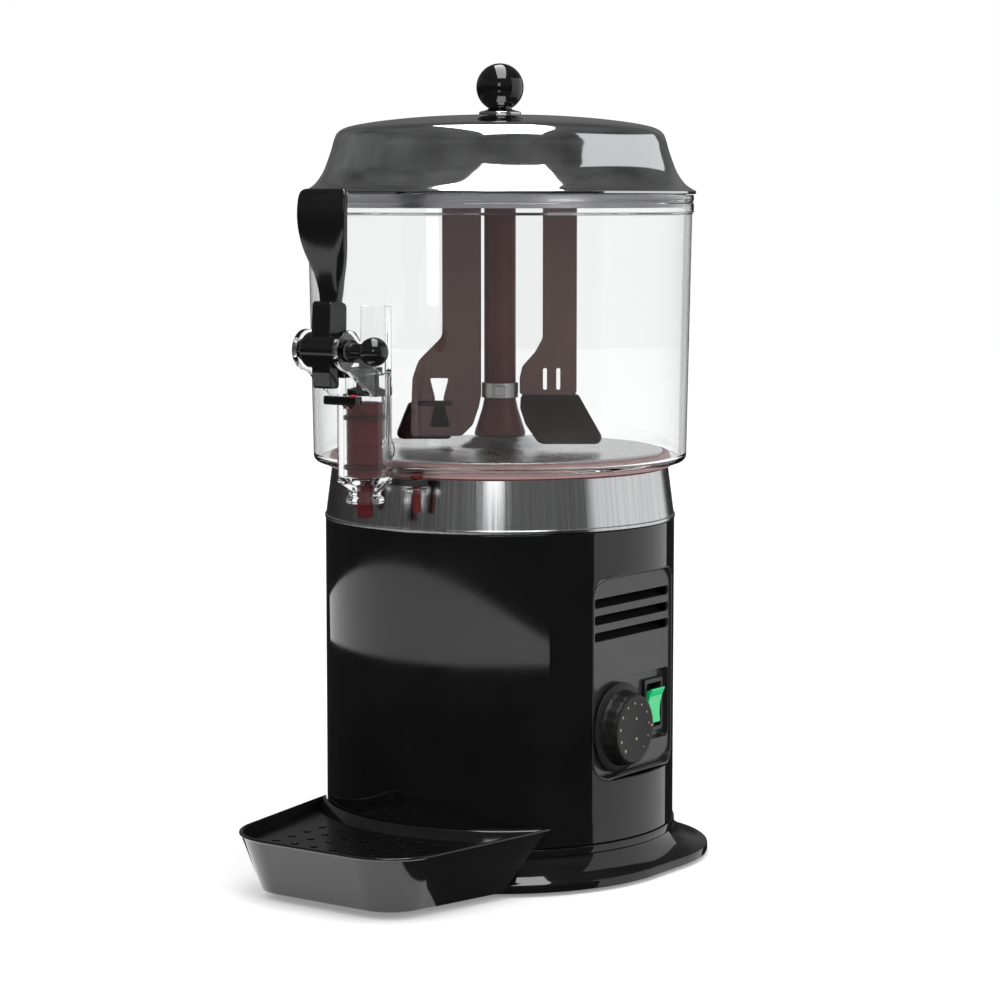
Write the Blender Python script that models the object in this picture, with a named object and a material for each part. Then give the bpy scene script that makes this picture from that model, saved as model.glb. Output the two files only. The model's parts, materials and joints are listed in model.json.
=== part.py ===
"""Countertop heated drink dispenser: 5 litre bowl, stirrer, lever tap, drip tray.

Frame: +Z up, the front (tap and tray) faces -Y, the control panel faces +X.
The origin is the centre of the bounding box on the counter.
Every stirred part turns about the column axis, which stands at (0, COLUMN_Y).
Part coordinates below are measured from that axis unless an empty says otherwise.
"""
from math import asin, atan2, cos, degrees, hypot, pi, radians, sin, sqrt

import bmesh
import bpy
from mathutils import Matrix

MM = 0.001
GAP = 0.3 * MM                      # between pieces that touch
RUN = 0.6 * MM                      # round running clearance
ROUND = 36                          # sides of the large round pieces
SMALL = 20                          # sides of the small round pieces

# Base
BODY_R = 105 * MM
BODY_WALL = 2 * MM
BASE_TOP = 26 * MM
BASE_LIP_TOP = 7.5 * MM
BASE_BOTTOM = 2.3 * MM
BASE_WALL = 3 * MM
FOOT_HALF_X = BODY_R + 8 * MM       # half width of the base's footprint
FOOT_REAR_Y = BODY_R + 10 * MM
FOOT_CORNER = 80 * MM
SEAM_DEPTH = 5 * MM                 # ring at the top of the base
RUBBER_R = 9 * MM
RUBBER_H = 4 * MM
COVER_T = 2 * MM
SCREW_R = 2 * MM
SCREW_HEAD_R = 3.6 * MM
SCREW_HEAD_H = 1.6 * MM
SCREW_LENGTH = 8 * MM

# Body and band
BODY_TOP = 208 * MM
BAND_H = 31.4 * MM
BAND_TOP = BODY_TOP + BAND_H
BAND_TOP_R = BODY_R - 4 * MM
BAND_WALL = 1.5 * MM
GLAND_X = -45 * MM
GLAND_Z = 50 * MM
GLAND_R = 7 * MM

# Bowl
BOWL_WALL = 3 * MM
BOWL_H = 158.3 * MM
BOWL_LOW_R = BODY_R + 7 * MM        # outer radius above the bottom corner
BOWL_R = BOWL_LOW_R + 3.5 * MM      # outer radius at the rim
BOWL_BOTTOM_R = BOWL_LOW_R - 8 * MM
BOWL_BOTTOM = BAND_TOP + 2.6 * MM
BOWL_CORNER_Z = BOWL_BOTTOM + 6 * MM
BOWL_TOP = BOWL_BOTTOM + BOWL_H
BOWL_RIM_Z = BOWL_TOP - 11.3 * MM   # foot of the thicker rim

# Heated plate and drive
PLATE_R = BAND_TOP_R - 3 * MM
PLATE_TOP = BAND_TOP + 9.6 * MM
PLATE_T = 2 * MM
CONE_TOP = PLATE_TOP + 7.5 * MM     # raised middle of the plate
SEAL_OUT = PLATE_R + 4 * MM
SEAL_LIP = PLATE_R + 6 * MM
SHAFT_R = 4 * MM
BUSH_T = 2 * MM
PIPE_BORE = SHAFT_R + BUSH_T
PIPE_R = PIPE_BORE + 1 * MM
PIPE_TOP = BOWL_TOP + 3.7 * MM
BUSH_H = 12 * MM
BRACKET_TOP = BODY_TOP - 16 * MM
BRACKET_T = 2 * MM
GEARBOX = (72 * MM, 58 * MM, 26 * MM)
GEARBOX_Y = 14 * MM
MOTOR_Y = 20 * MM
MOTOR_R = 28 * MM
MOTOR_H = 92 * MM
ELEMENT_IN = 46 * MM
ELEMENT_OUT = 60 * MM
ELEMENT_H = 6 * MM

# Control panel, on the +X side
PANEL_HALF_Y = 43 * MM
PANEL_H = 120 * MM
PANEL_HIGH = BODY_TOP - 26 * MM
PANEL_LOW = PANEL_HIGH - PANEL_H
PANEL_CORNER = 12 * MM
PANEL_INSET = 0.6 * MM              # face behind the body's surface, at the panel's edge
PANEL_FACE_X = sqrt(BODY_R ** 2 - PANEL_HALF_Y ** 2) - PANEL_INSET
PANEL_T = 2.2 * MM
PANEL_RIM = 1.6 * MM
PANEL_DEPTH = 6 * MM
SLOT_H = 5.2 * MM
SLOT_PITCH = 9.8 * MM
SLOT_Z = tuple(PANEL_HIGH - 16 * MM - SLOT_PITCH * place for place in range(3))
SLOT_HALF_Y = PANEL_HALF_Y - 3.5 * MM
SWITCH_Y = PANEL_HALF_Y - 16 * MM
SWITCH_Z = PANEL_LOW + 36 * MM
SWITCH_SIZE = (20 * MM, 32 * MM)
SWITCH_DEPTH = 22 * MM
ROCKER_SIZE = (14 * MM, 25 * MM)
ROCKER_TILT = 9
RECESS_Y = (SWITCH_Y - 31 * MM, SWITCH_Y + 13 * MM)
RECESS_Z = (SWITCH_Z - 20 * MM, SWITCH_Z + 21.5 * MM)
RECESS_DEPTH = 4 * MM
DIAL_Y = SWITCH_Y - 44.5 * MM
DIAL_Z = SWITCH_Z - 6.5 * MM
DIAL_R = 26.5 * MM
DIAL_GRIP_R = 21.5 * MM
DIAL_DEPTH = 14 * MM
DIAL_LIFT = 1.9 * MM                # skirt ahead of the panel's face
DIAL_STEM_R = 3 * MM

# Lid
LID_RIM_R = BOWL_R + 1 * MM
LID_WALL = 1.5 * MM
LID_TOP = BOWL_TOP + 47.2 * MM
LID_SKIRT_DEPTH = 8 * MM
# How far in from the rim and how high above the bowl the dome's outside passes
LID_CURVE = (
    (34.5 * MM, 41.3 * MM), (25.5 * MM, 38.5 * MM), (20.7 * MM, 35.7 * MM), (18.2 * MM, 32 * MM),
    (16.3 * MM, 27.2 * MM), (14.1 * MM, 20.7 * MM), (11.1 * MM, 13.3 * MM), (6.5 * MM, 6.7 * MM),
    (2.1 * MM, 3.5 * MM),
)
COLLAR_R = 12.5 * MM
BALL_R = 14.1 * MM
BALL_NECK = 6 * MM
BALL_TOP = LID_TOP + 30.5 * MM

# Stirrer
STIR_ANGLE = 36                     # degrees, the blades' direction at rest
STIR_BORE = PIPE_R + RUN
STIR_R = STIR_BORE + 1.9 * MM
STIR_FOOT_R = STIR_R + 6 * MM
STIR_LOW = PLATE_TOP + 8 * MM
STIR_FLARE_Z = STIR_LOW + 20 * MM
STIR_TOP = BOWL_TOP - 2.3 * MM
RING_LOW = STIR_LOW + 22.5 * MM
RING_H = 9 * MM
RING_T = 1.1 * MM
HUB_R = STIR_R + 3.5 * MM
HUB_TOP = PIPE_TOP + 12 * MM
DOG_HALF = SHAFT_R + 0.5 * MM
DOG_TOP = PIPE_TOP + 7 * MM
ARM_LOW = STIR_TOP + 3 * MM
ARM_HIGH = ARM_LOW + 7 * MM
BLADE_T = 3 * MM
PLOUGH_T = 2.6 * MM
PLOUGH_TILT = 35

# Tap
TAP_Y = -BOWL_R - 16 * MM
BARREL_BORE = 12.4 * MM
BARREL_R = BARREL_BORE + 3 * MM
BARREL_LOW = BOWL_BOTTOM - 3 * MM
BARREL_FLOOR = 3 * MM
BARREL_TOP = BARREL_LOW + 62 * MM
BARREL_BACK_TOP = BARREL_LOW + 99 * MM
TIP_R = 4.6 * MM
SPOUT_BORE = TIP_R + 0.8 * MM
SPOUT_R = 11 * MM
SPOUT_LOW = BARREL_LOW - 12 * MM
TIP_LOW = SPOUT_LOW - 8.4 * MM
PISTON_R = BARREL_BORE - 2.4 * MM
PISTON_TOP = BARREL_LOW + 45 * MM
PISTON_RINGS = (BARREL_LOW + 7 * MM, BARREL_LOW + 35 * MM)
PISTON_RING_H = 3 * MM
GROOVE = 1.2 * MM
HEAD_R = BARREL_BORE - 1.4 * MM
HEAD_LOW = PISTON_TOP + 4 * MM
NECK_Z = BOWL_BOTTOM + 14 * MM      # height of the bowl's outlet
OUTLET_R = 5 * MM
OUTLET_WALL = 2.5 * MM
PIVOT_AHEAD = BARREL_R + 17.6 * MM  # pivot in front of the barrel's axis
PIVOT_Z = BARREL_TOP + 13.6 * MM
EAR_X = BARREL_BORE + 0.2 * MM      # inner face of each ear
EAR_T = 3.6 * MM
EAR_R = 11.5 * MM
PIN_R = 3.5 * MM
PIN_NECK_R = 5 * MM
PIN_NECK_H = 8 * MM
PIN_BALL_R = 8.1 * MM
LEVER_HUB_R = 10 * MM
LEVER_HALF = 6.5 * MM
LEVER_TOP = 89 * MM                 # above the pivot
FORK_IN = 5.4 * MM                  # the fork's two prongs, across
FORK_OUT = 8.6 * MM
FORK_LOW = -15.4 * MM               # above the pivot
FORK_HIGH = -10.8 * MM
FORK_REACH = PIVOT_AHEAD + 6 * MM   # behind the pivot
BAR_SIZE = (23 * MM, 5 * MM, 5 * MM)
BAR_Z = PISTON_TOP + 2 * MM
BAR_AHEAD = BARREL_R + 5.1 * MM
CLIP_HALF_X = 27 * MM
CLIP_DEPTH = 9 * MM
CLIP_LOW = BARREL_LOW - 3 * MM
CLIP_HIGH = BARREL_LOW + 1 * MM
LOCK_X = 21.5 * MM
LOCK_R = 2.4 * MM
LOCK_LENGTH = 15 * MM               # below the clip
COLLAR_LOCK_R = 6.5 * MM

# Drip tray
TRAY_TOP = 38 * MM
TRAY_BOTTOM = 4.5 * MM
TRAY_FRONT = BODY_R + 81 * MM
TRAY_HALF_X = BODY_R - 23 * MM      # half width where it meets the body
TRAY_FRONT_HALF = TRAY_HALF_X - 14 * MM
TRAY_CORNER = 36 * MM
TRAY_DRAFT = 12 * MM
TRAY_WALL = 2 * MM
GRID_Z = TRAY_TOP - 7.5 * MM
GRID_T = 2 * MM
GRID_SLACK = 0.5 * MM
GRID_HOLE_R = 2.2 * MM
GRID_PITCH = 14 * MM
HANGER_T = 1.8 * MM
HANGER_HALF_X = 48 * MM
HANGER_HALF_Y = 45 * MM             # before and behind the body's surface

COLUMN_Y = (TRAY_FRONT - max(FOOT_REAR_Y, LID_RIM_R)) / 2

COLOURS = {
    "gloss_black": ((0.008, 0.008, 0.009), 0.12, 0.0),
    "matte_black": ((0.014, 0.014, 0.015), 0.45, 0.0),
    "chrome": ((0.75, 0.76, 0.78), 0.08, 1.0),
    "steel": ((0.55, 0.56, 0.57), 0.30, 1.0),
    "clear": ((0.92, 0.94, 0.95), 0.05, 0.0),
    "stirrer_brown": ((0.075, 0.035, 0.032), 0.35, 0.0),
    "tap_red": ((0.16, 0.035, 0.035), 0.35, 0.0),
    "seal_red": ((0.45, 0.08, 0.08), 0.55, 0.0),
    "green": ((0.02, 0.60, 0.22), 0.25, 0.0),
    "rubber": ((0.02, 0.02, 0.02), 0.85, 0.0),
    "zinc": ((0.45, 0.45, 0.46), 0.45, 1.0),
    "motor": ((0.10, 0.10, 0.11), 0.50, 0.4),
}


# --- Scene helpers ---------------------------------------------------------

def clear_scene():
    for item in list(bpy.data.objects):
        bpy.data.objects.remove(item, do_unlink=True)


def material(name):
    """The named Principled material, made once."""
    known = bpy.data.materials.get(name)
    if known:
        return known
    colour, roughness, metallic = COLOURS[name]
    made = bpy.data.materials.new(name)
    made.use_nodes = True
    shader = made.node_tree.nodes["Principled BSDF"]
    shader.inputs["Base Color"].default_value = (*colour, 1.0)
    shader.inputs["Roughness"].default_value = roughness
    shader.inputs["Metallic"].default_value = metallic
    made.diffuse_color = (*colour, 1.0)
    return made


def empty(name, location, parent=None):
    made = bpy.data.objects.new(name, None)
    bpy.context.scene.collection.objects.link(made)
    made.parent = parent
    made.location = location
    return made


def finish(name, bm, colour, parent, location=(0, 0, 0), rotation=(0, 0, 0)):
    """Turn a bmesh into a named, shaded and placed object."""
    bmesh.ops.recalc_face_normals(bm, faces=bm.faces)
    mesh = bpy.data.meshes.new(name)
    bm.to_mesh(mesh)
    bm.free()
    mesh.shade_smooth()
    mesh.set_sharp_from_angle(angle=radians(35))
    made = bpy.data.objects.new(name, mesh)
    bpy.context.scene.collection.objects.link(made)
    made.parent = parent
    made.location = location
    made.rotation_euler = rotation
    if colour:
        mesh.materials.append(material(colour))
    return made


def modify(target, tool, operation):
    """Leave an exact Boolean on target and keep its tool out of the build."""
    tool.hide_render = True
    tool.display_type = "WIRE"
    step = target.modifiers.new(tool.name, "BOOLEAN")
    step.operation = operation
    step.object = tool
    return target


def cut(target, tool):
    return modify(target, tool, "DIFFERENCE")


def join(target, tool):
    return modify(target, tool, "UNION")


# --- Shapes ----------------------------------------------------------------

def skin(rings, closed):
    """Bridge rings of equal length. Closed rings wrap round; open ends get caps."""
    bm = bmesh.new()
    loops = [[bm.verts.new(point) for point in ring] for ring in rings]
    pairs = list(zip(loops, loops[1:]))
    if closed:
        pairs.append((loops[-1], loops[0]))
    count = len(rings[0])
    for low, high in pairs:
        for index in range(count):
            after = (index + 1) % count
            bm.faces.new((low[index], low[after], high[after], high[index]))
    if not closed:
        bm.faces.new(loops[0])
        bm.faces.new(loops[-1])
    return bm


def turned(profile, sides):
    """Revolve (radius, height) points about Z. Zero radius makes a pole."""
    bm = bmesh.new()
    loops = []
    for radius, height in profile:
        if radius < 1e-7:
            loops.append([bm.verts.new((0, 0, height))])
            continue
        turns = [2 * pi * index / sides for index in range(sides)]
        loops.append([bm.verts.new((radius * cos(a), radius * sin(a), height)) for a in turns])
    touches_axis = len(loops[0]) == 1 and len(loops[-1]) == 1
    pairs = list(zip(loops, loops[1:]))
    if not touches_axis:
        pairs.append((loops[-1], loops[0]))
    for low, high in pairs:
        for index in range(sides):
            after = (index + 1) % sides
            if len(low) == 1:
                bm.faces.new((low[0], high[after], high[index]))
            elif len(high) == 1:
                bm.faces.new((low[index], low[after], high[0]))
            else:
                bm.faces.new((low[index], low[after], high[after], high[index]))
    return bm


def tube(inner, outer, low, high):
    return [(inner, low), (outer, low), (outer, high), (inner, high)]


def rod(radius, low, high):
    return [(0, low), (radius, low), (radius, high), (0, high)]


def along(axis, bm):
    """Turn a Z-built shape to lie along X or Y."""
    turn = {"X": Matrix.Rotation(pi / 2, 4, "Y"), "Y": Matrix.Rotation(-pi / 2, 4, "X")}[axis]
    bmesh.ops.transform(bm, matrix=turn, verts=bm.verts)
    return bm


def block(size, centre=(0, 0, 0), bevel=0.0):
    """A box with optional chamfered edges."""
    bm = bmesh.new()
    bmesh.ops.create_cube(bm, size=1.0)
    bmesh.ops.scale(bm, vec=size, verts=bm.verts)
    if bevel:
        bmesh.ops.bevel(bm, geom=bm.edges[:], offset=bevel, segments=1, affect="EDGES")
    bmesh.ops.translate(bm, vec=centre, verts=bm.verts)
    return bm


def span(low, high, bevel=0.0):
    """A box between two opposite corners."""
    size = [b - a for a, b in zip(low, high)]
    centre = [(a + b) / 2 for a, b in zip(low, high)]
    return block(size, centre, bevel)


def slab(outline, plane, low, high):
    """Extrude a flat outline. plane names the outline's two axes in order."""
    places = {
        "XY": lambda a, b, d: (a, b, d),
        "XZ": lambda a, b, d: (a, d, b),
        "YZ": lambda a, b, d: (d, a, b),
    }
    place = places[plane]
    rings = [[place(a, b, depth) for a, b in outline] for depth in (low, high)]
    return skin(rings, closed=False)


def arc(centre, radius, start, end, steps):
    """Points on an arc, angles in degrees."""
    points = []
    for step in range(steps + 1):
        angle = radians(start + (end - start) * step / steps)
        points.append((centre[0] + radius * cos(angle), centre[1] + radius * sin(angle)))
    return points


def rounded(low, high, corner, steps=4):
    """A rectangle's outline with round corners."""
    left, bottom = low
    right, top = high
    points = arc((right - corner, top - corner), corner, 0, 90, steps)
    points += arc((left + corner, top - corner), corner, 90, 180, steps)
    points += arc((left + corner, bottom + corner), corner, 180, 270, steps)
    points += arc((right - corner, bottom + corner), corner, 270, 360, steps)
    return points


# --- Base ------------------------------------------------------------------

def footprint(angle):
    """Distance from the column axis to the base's rim: round in front, square behind."""
    across, back = cos(angle), sin(angle)
    if back <= 0:
        return FOOT_HALF_X
    corner_x = FOOT_HALF_X - FOOT_CORNER
    corner_y = FOOT_REAR_Y - FOOT_CORNER
    if abs(across) > 1e-9 and FOOT_HALF_X * back / abs(across) <= corner_y:
        return FOOT_HALF_X / abs(across)
    if FOOT_REAR_Y * abs(across) / back <= corner_x:
        return FOOT_REAR_Y / back
    along_ray = corner_x * abs(across) + corner_y * back
    rest = corner_x ** 2 + corner_y ** 2 - FOOT_CORNER ** 2
    return along_ray + sqrt(along_ray ** 2 - rest)


def base_ring(spread, height, inset=0.0):
    """A ring between the round body (spread 0) and the footprint (spread 1)."""
    ring = []
    for index in range(ROUND):
        angle = 2 * pi * index / ROUND
        radius = BODY_R + (footprint(angle) - BODY_R) * spread - inset
        ring.append((radius * cos(angle), radius * sin(angle), height))
    return ring


def build_base(column):
    """Flared base pan, its cover, screws and rubber feet."""
    seam_foot = BASE_TOP - SEAM_DEPTH
    steps = 4
    outside = [base_ring(1, BASE_BOTTOM), base_ring(1, BASE_LIP_TOP)]
    for step in range(1, steps + 1):
        share = step / steps
        spread = 0.08 + 0.84 * (1 - share) ** 1.3
        outside.append(base_ring(spread, BASE_LIP_TOP + (seam_foot - BASE_LIP_TOP) * share))
    outside.append(base_ring(0, seam_foot, -1 * MM))
    outside.append(base_ring(0, BASE_TOP, -1 * MM))
    inside = [base_ring(0, BASE_TOP, 8 * MM), base_ring(0, seam_foot, 8 * MM)]
    for step in range(steps - 1, -1, -1):
        share = step / steps
        spread = 0.92 * (1 - share) ** 1.3
        height = BASE_LIP_TOP + (seam_foot - BASE_WALL - BASE_LIP_TOP) * share
        inside.append(base_ring(spread, height, BASE_WALL + 1 * MM))
    lip_low = BASE_BOTTOM + 1.5 * MM
    inside.append(base_ring(1, lip_low, BASE_WALL))
    inside.append(base_ring(1, BASE_BOTTOM, BASE_WALL))
    finish("base_pan", skin(outside + inside, closed=True), "gloss_black", column)

    cover_low = RUBBER_H + GAP
    cover_rings = []
    for height in (cover_low, cover_low + COVER_T):
        share = (height - lip_low) / (BASE_LIP_TOP - lip_low)
        cover_rings.append(base_ring(1 - 0.08 * share, height, BASE_WALL + 1 * MM * share + GAP))
    cover = finish("bottom_cover", skin(cover_rings, closed=False), "zinc", column)
    rear_screw, rear_foot = (BODY_R - 33 * MM, BODY_R - 45 * MM), (BODY_R - 27 * MM, BODY_R - 67 * MM)
    front_screw, front_foot = (BODY_R - 43 * MM, 35 * MM - BODY_R), (BODY_R - 27 * MM, 65 * MM - BODY_R)
    screw_places = [(side * x, y) for x, y in (rear_screw, front_screw) for side in (1, -1)]
    foot_places = [(side * x, y) for x, y in (rear_foot, front_foot) for side in (1, -1)]
    sides = ("rear_right", "rear_left", "front_right", "front_left")
    for side, (x, y) in zip(sides, screw_places):
        hole = finish(f"cover_hole_{side}", turned(rod(SCREW_R + GAP, 0, 20 * MM), 12), None, column,
                      (x, y, 0))
        cut(cover, hole)
        head = [(0, 0), (SCREW_HEAD_R, 0), (SCREW_HEAD_R, SCREW_HEAD_H), (SCREW_R, SCREW_HEAD_H)]
        shank = [(SCREW_R, SCREW_LENGTH), (0, SCREW_LENGTH)]
        low = cover_low - SCREW_HEAD_H - GAP
        finish(f"cover_screw_{side}", turned(head + shank, 12), "zinc", column, (x, y, low))
    for side, (x, y) in zip(sides, foot_places):
        shape = [(0, 0), (RUBBER_R, 0), (RUBBER_R - 1 * MM, RUBBER_H), (0, RUBBER_H)]
        finish(f"rubber_foot_{side}", turned(shape, SMALL), "rubber", column, (x, y, 0))


# --- Body ------------------------------------------------------------------

def panel_outline(inset):
    low = (-PANEL_HALF_Y + inset, PANEL_LOW + inset)
    high = (PANEL_HALF_Y - inset, PANEL_HIGH - inset)
    return rounded(low, high, PANEL_CORNER - inset)


def build_body(column):
    """Round shell with the panel's window, and the steel band above it."""
    shell = finish("body_shell", turned(tube(BODY_R - BODY_WALL, BODY_R, BASE_TOP + GAP, BODY_TOP), ROUND),
                   "gloss_black", column)
    reach = BODY_R + 10 * MM
    window = slab(panel_outline(0), "YZ", PANEL_FACE_X - 35 * MM, reach)
    cut(shell, finish("panel_window", window, None, column))
    gland_hole = along("Y", turned(rod(GLAND_R + GAP, 0, reach), SMALL))
    cut(shell, finish("gland_hole", gland_hole, None, column, (GLAND_X, 0, GLAND_Z)))

    flange_in = PLATE_R + GAP
    band = [
        (BODY_R - BAND_WALL, BODY_TOP + GAP), (BODY_R, BODY_TOP + GAP), (BAND_TOP_R, BAND_TOP),
        (flange_in, BAND_TOP), (flange_in, BAND_TOP - BAND_WALL),
        (BAND_TOP_R - BAND_WALL, BAND_TOP - BAND_WALL),
    ]
    finish("steel_band", turned(band, ROUND), "steel", column)

    bore, flange_r = GLAND_R - 3.4 * MM, GLAND_R + 3 * MM
    flange = [(bore, -2 * MM), (GLAND_R, -2 * MM), (GLAND_R, 8 * MM), (flange_r, 8 * MM),
              (flange_r, 11 * MM), (bore, 11 * MM)]
    rear = sqrt(BODY_R ** 2 - GLAND_X ** 2)
    finish("cord_gland", along("Y", turned(flange, SMALL)), "matte_black", column,
           (GLAND_X, rear - 4 * MM, GLAND_Z))


def build_panel(column):
    """Recessed control panel with its slots, switch and thermostat."""
    rim = slab(panel_outline(GAP), "YZ", PANEL_FACE_X - PANEL_DEPTH, BODY_R + 5 * MM)
    panel = finish("control_panel", rim, "gloss_black", column)
    drum = turned(rod(BODY_R, PANEL_LOW - 20 * MM, PANEL_HIGH + 20 * MM), ROUND)
    modify(panel, finish("panel_drum", drum, None, column), "INTERSECT")
    front = slab(panel_outline(PANEL_RIM + GAP), "YZ", PANEL_FACE_X, BODY_R + 20 * MM)
    cut(panel, finish("panel_front_pocket", front, None, column))
    behind = slab(panel_outline(PANEL_RIM + GAP), "YZ", PANEL_FACE_X - 20 * MM, PANEL_FACE_X - PANEL_T)
    cut(panel, finish("panel_rear_pocket", behind, None, column))
    for number, height in enumerate(SLOT_Z, start=1):
        slot = span((PANEL_FACE_X - 20 * MM, -SLOT_HALF_Y, height - SLOT_H / 2),
                    (BODY_R + 20 * MM, SLOT_HALF_Y, height + SLOT_H / 2))
        cut(panel, finish(f"vent_slot_{number}", slot, None, column))

    pocket_floor = PANEL_FACE_X - RECESS_DEPTH
    pan_outline = rounded((RECESS_Y[0] - 2 * MM, RECESS_Z[0] - 2 * MM),
                          (RECESS_Y[1] + 2 * MM, RECESS_Z[1] + 2 * MM), 4 * MM, 2)
    pan = slab(pan_outline, "YZ", pocket_floor - 1.6 * MM, PANEL_FACE_X - PANEL_T / 2)
    join(panel, finish("recess_pan", pan, None, column))
    pocket = slab(rounded((RECESS_Y[0], RECESS_Z[0]), (RECESS_Y[1], RECESS_Z[1]), 2.5 * MM, 2),
                  "YZ", pocket_floor, BODY_R + 20 * MM)
    cut(panel, finish("recess_pocket", pocket, None, column))
    stem_hole = along("X", turned(rod(DIAL_STEM_R + RUN, pocket_floor - 20 * MM, BODY_R), SMALL))
    cut(panel, finish("stem_hole", stem_hole, None, column, (0, DIAL_Y, DIAL_Z)))
    wide, tall = SWITCH_SIZE
    body_w, body_h = wide - 3 * MM, tall - 3 * MM
    switch_hole = span((pocket_floor - 20 * MM, SWITCH_Y - body_w / 2 - GAP, SWITCH_Z - body_h / 2 - GAP),
                       (BODY_R, SWITCH_Y + body_w / 2 + GAP, SWITCH_Z + body_h / 2 + GAP))
    cut(panel, finish("switch_hole", switch_hole, None, column))

    flange_x = pocket_floor + GAP
    housing = finish("switch_housing", span((flange_x, SWITCH_Y - wide / 2, SWITCH_Z - tall / 2),
                     (flange_x + 2 * MM, SWITCH_Y + wide / 2, SWITCH_Z + tall / 2), 0.5 * MM),
                     "matte_black", column)
    join(housing, finish("switch_box", span(
        (flange_x - SWITCH_DEPTH, SWITCH_Y - body_w / 2, SWITCH_Z - body_h / 2),
        (flange_x + 1 * MM, SWITCH_Y + body_w / 2, SWITCH_Z + body_h / 2)), None, column))
    rocker_w, rocker_h = ROCKER_SIZE
    well = span((flange_x - 8 * MM, SWITCH_Y - rocker_w / 2 - RUN, SWITCH_Z - rocker_h / 2 - RUN),
                (flange_x + 9 * MM, SWITCH_Y + rocker_w / 2 + RUN, SWITCH_Z + rocker_h / 2 + RUN))
    cut(housing, finish("switch_well", well, None, column))
    pivot = empty("rocker_axis", (flange_x + 1 * MM, SWITCH_Y, SWITCH_Z), column)
    half = rocker_h / 2 - 0.8 * MM
    outline = [(3.2 * MM, half), (-4.5 * MM, half * 0.55), (-4.5 * MM, -half * 0.55), (3.2 * MM, -half)]
    outline += [(1.6 * MM, -half * 0.5), (1.0 * MM, 0), (1.6 * MM, half * 0.5)]
    finish("rocker", slab(outline, "XZ", -rocker_w / 2, rocker_w / 2), "green", pivot,
           rotation=(0, radians(ROCKER_TILT), 0))

    dial_axis = empty("dial_axis", (PANEL_FACE_X, DIAL_Y, DIAL_Z), column)
    knob = [
        (0, -PANEL_DEPTH), (DIAL_STEM_R, -PANEL_DEPTH), (DIAL_STEM_R, DIAL_LIFT),
        (DIAL_R - 2 * MM, DIAL_LIFT), (DIAL_R, DIAL_LIFT + 0.5 * MM), (DIAL_R, DIAL_LIFT + 1.5 * MM),
        (DIAL_R - 2 * MM, DIAL_LIFT + 2.3 * MM), (DIAL_GRIP_R + 1 * MM, DIAL_LIFT + 3.1 * MM),
        (DIAL_GRIP_R, DIAL_DEPTH - 1.5 * MM), (DIAL_GRIP_R - 1.5 * MM, DIAL_DEPTH), (0, DIAL_DEPTH),
    ]
    finish("thermostat_knob", along("X", turned(knob, 28)), "matte_black", dial_axis)
    body_x = PANEL_FACE_X - PANEL_DEPTH - GAP
    finish("thermostat_body", span((body_x - 24 * MM, DIAL_Y - 16 * MM, DIAL_Z - 13 * MM),
           (body_x, DIAL_Y + 9 * MM, DIAL_Z + 13 * MM), 1 * MM), "zinc", column)


# --- Heating and drive -----------------------------------------------------

def build_drive(column):
    """Plate, element, motor, gearbox, standpipe, bushes and shaft."""
    skirt_low = BAND_TOP - 8 * MM
    plate = [
        (PIPE_R + GAP, PLATE_TOP - PLATE_T), (PLATE_R - PLATE_T, PLATE_TOP - PLATE_T),
        (PLATE_R - PLATE_T, skirt_low), (PLATE_R, skirt_low), (PLATE_R, PLATE_TOP - 1.5 * MM),
        (PLATE_R - 1.5 * MM, PLATE_TOP), (40 * MM, PLATE_TOP), (28 * MM, PLATE_TOP + 1 * MM),
        (PIPE_R + 14 * MM, CONE_TOP - 3.5 * MM),
        (PIPE_R + 10 * MM, CONE_TOP), (PIPE_R + GAP, CONE_TOP),
    ]
    finish("heated_plate", turned(plate, ROUND), "steel", column)
    under = PLATE_TOP - PLATE_T - GAP
    finish("heating_element", turned(tube(ELEMENT_IN, ELEMENT_OUT, under - ELEMENT_H, under), ROUND),
           "zinc", column)
    bracket_low = BRACKET_TOP - BRACKET_T
    pipe_low = BRACKET_TOP + GAP
    finish("standpipe", turned(tube(PIPE_BORE, PIPE_R, pipe_low, PIPE_TOP), SMALL), "steel", column)
    upper_low = PIPE_TOP - 2 * MM - BUSH_H
    for name, low in (("shaft_bush_lower", pipe_low + 2 * MM), ("shaft_bush_upper", upper_low)):
        finish(name, turned(tube(SHAFT_R + 0.2 * MM, PIPE_BORE - GAP / 2, low, low + BUSH_H), SMALL),
               "matte_black", column)
    bracket = tube(SHAFT_R + RUN, BODY_R - BODY_WALL - GAP, bracket_low, BRACKET_TOP)
    finish("motor_bracket", turned(bracket, ROUND), "zinc", column)
    box_high = bracket_low - GAP
    box_low = box_high - GEARBOX[2]
    finish("gearbox", span((-GEARBOX[0] / 2, GEARBOX_Y - GEARBOX[1] / 2, box_low),
           (GEARBOX[0] / 2, GEARBOX_Y + GEARBOX[1] / 2, box_high), 2 * MM), "zinc", column)
    motor_top = box_low - GAP
    can = [(0, -MOTOR_H), (MOTOR_R - 2 * MM, -MOTOR_H), (MOTOR_R, 2 * MM - MOTOR_H), (MOTOR_R, 0), (0, 0)]
    finish("gearmotor", turned(can, SMALL), "motor", column, (0, MOTOR_Y, motor_top))
    block_left = 35 * MM - BODY_R
    finish("terminal_block", span((block_left, 30 * MM, RUBBER_H + COVER_T + 2 * GAP),
           (block_left + 32 * MM, 50 * MM, BASE_TOP - 2 * MM), 1 * MM), "matte_black", column)

    shaft = finish("drive_shaft", turned(rod(SHAFT_R, box_high + GAP, PIPE_TOP + 2 * MM), SMALL),
                   "steel", column)
    dog = span((-DOG_HALF, -DOG_HALF, PIPE_TOP + 1 * MM), (DOG_HALF, DOG_HALF, DOG_TOP))
    join(shaft, finish("drive_dog", dog, None, column, rotation=(0, 0, radians(STIR_ANGLE))))


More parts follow.
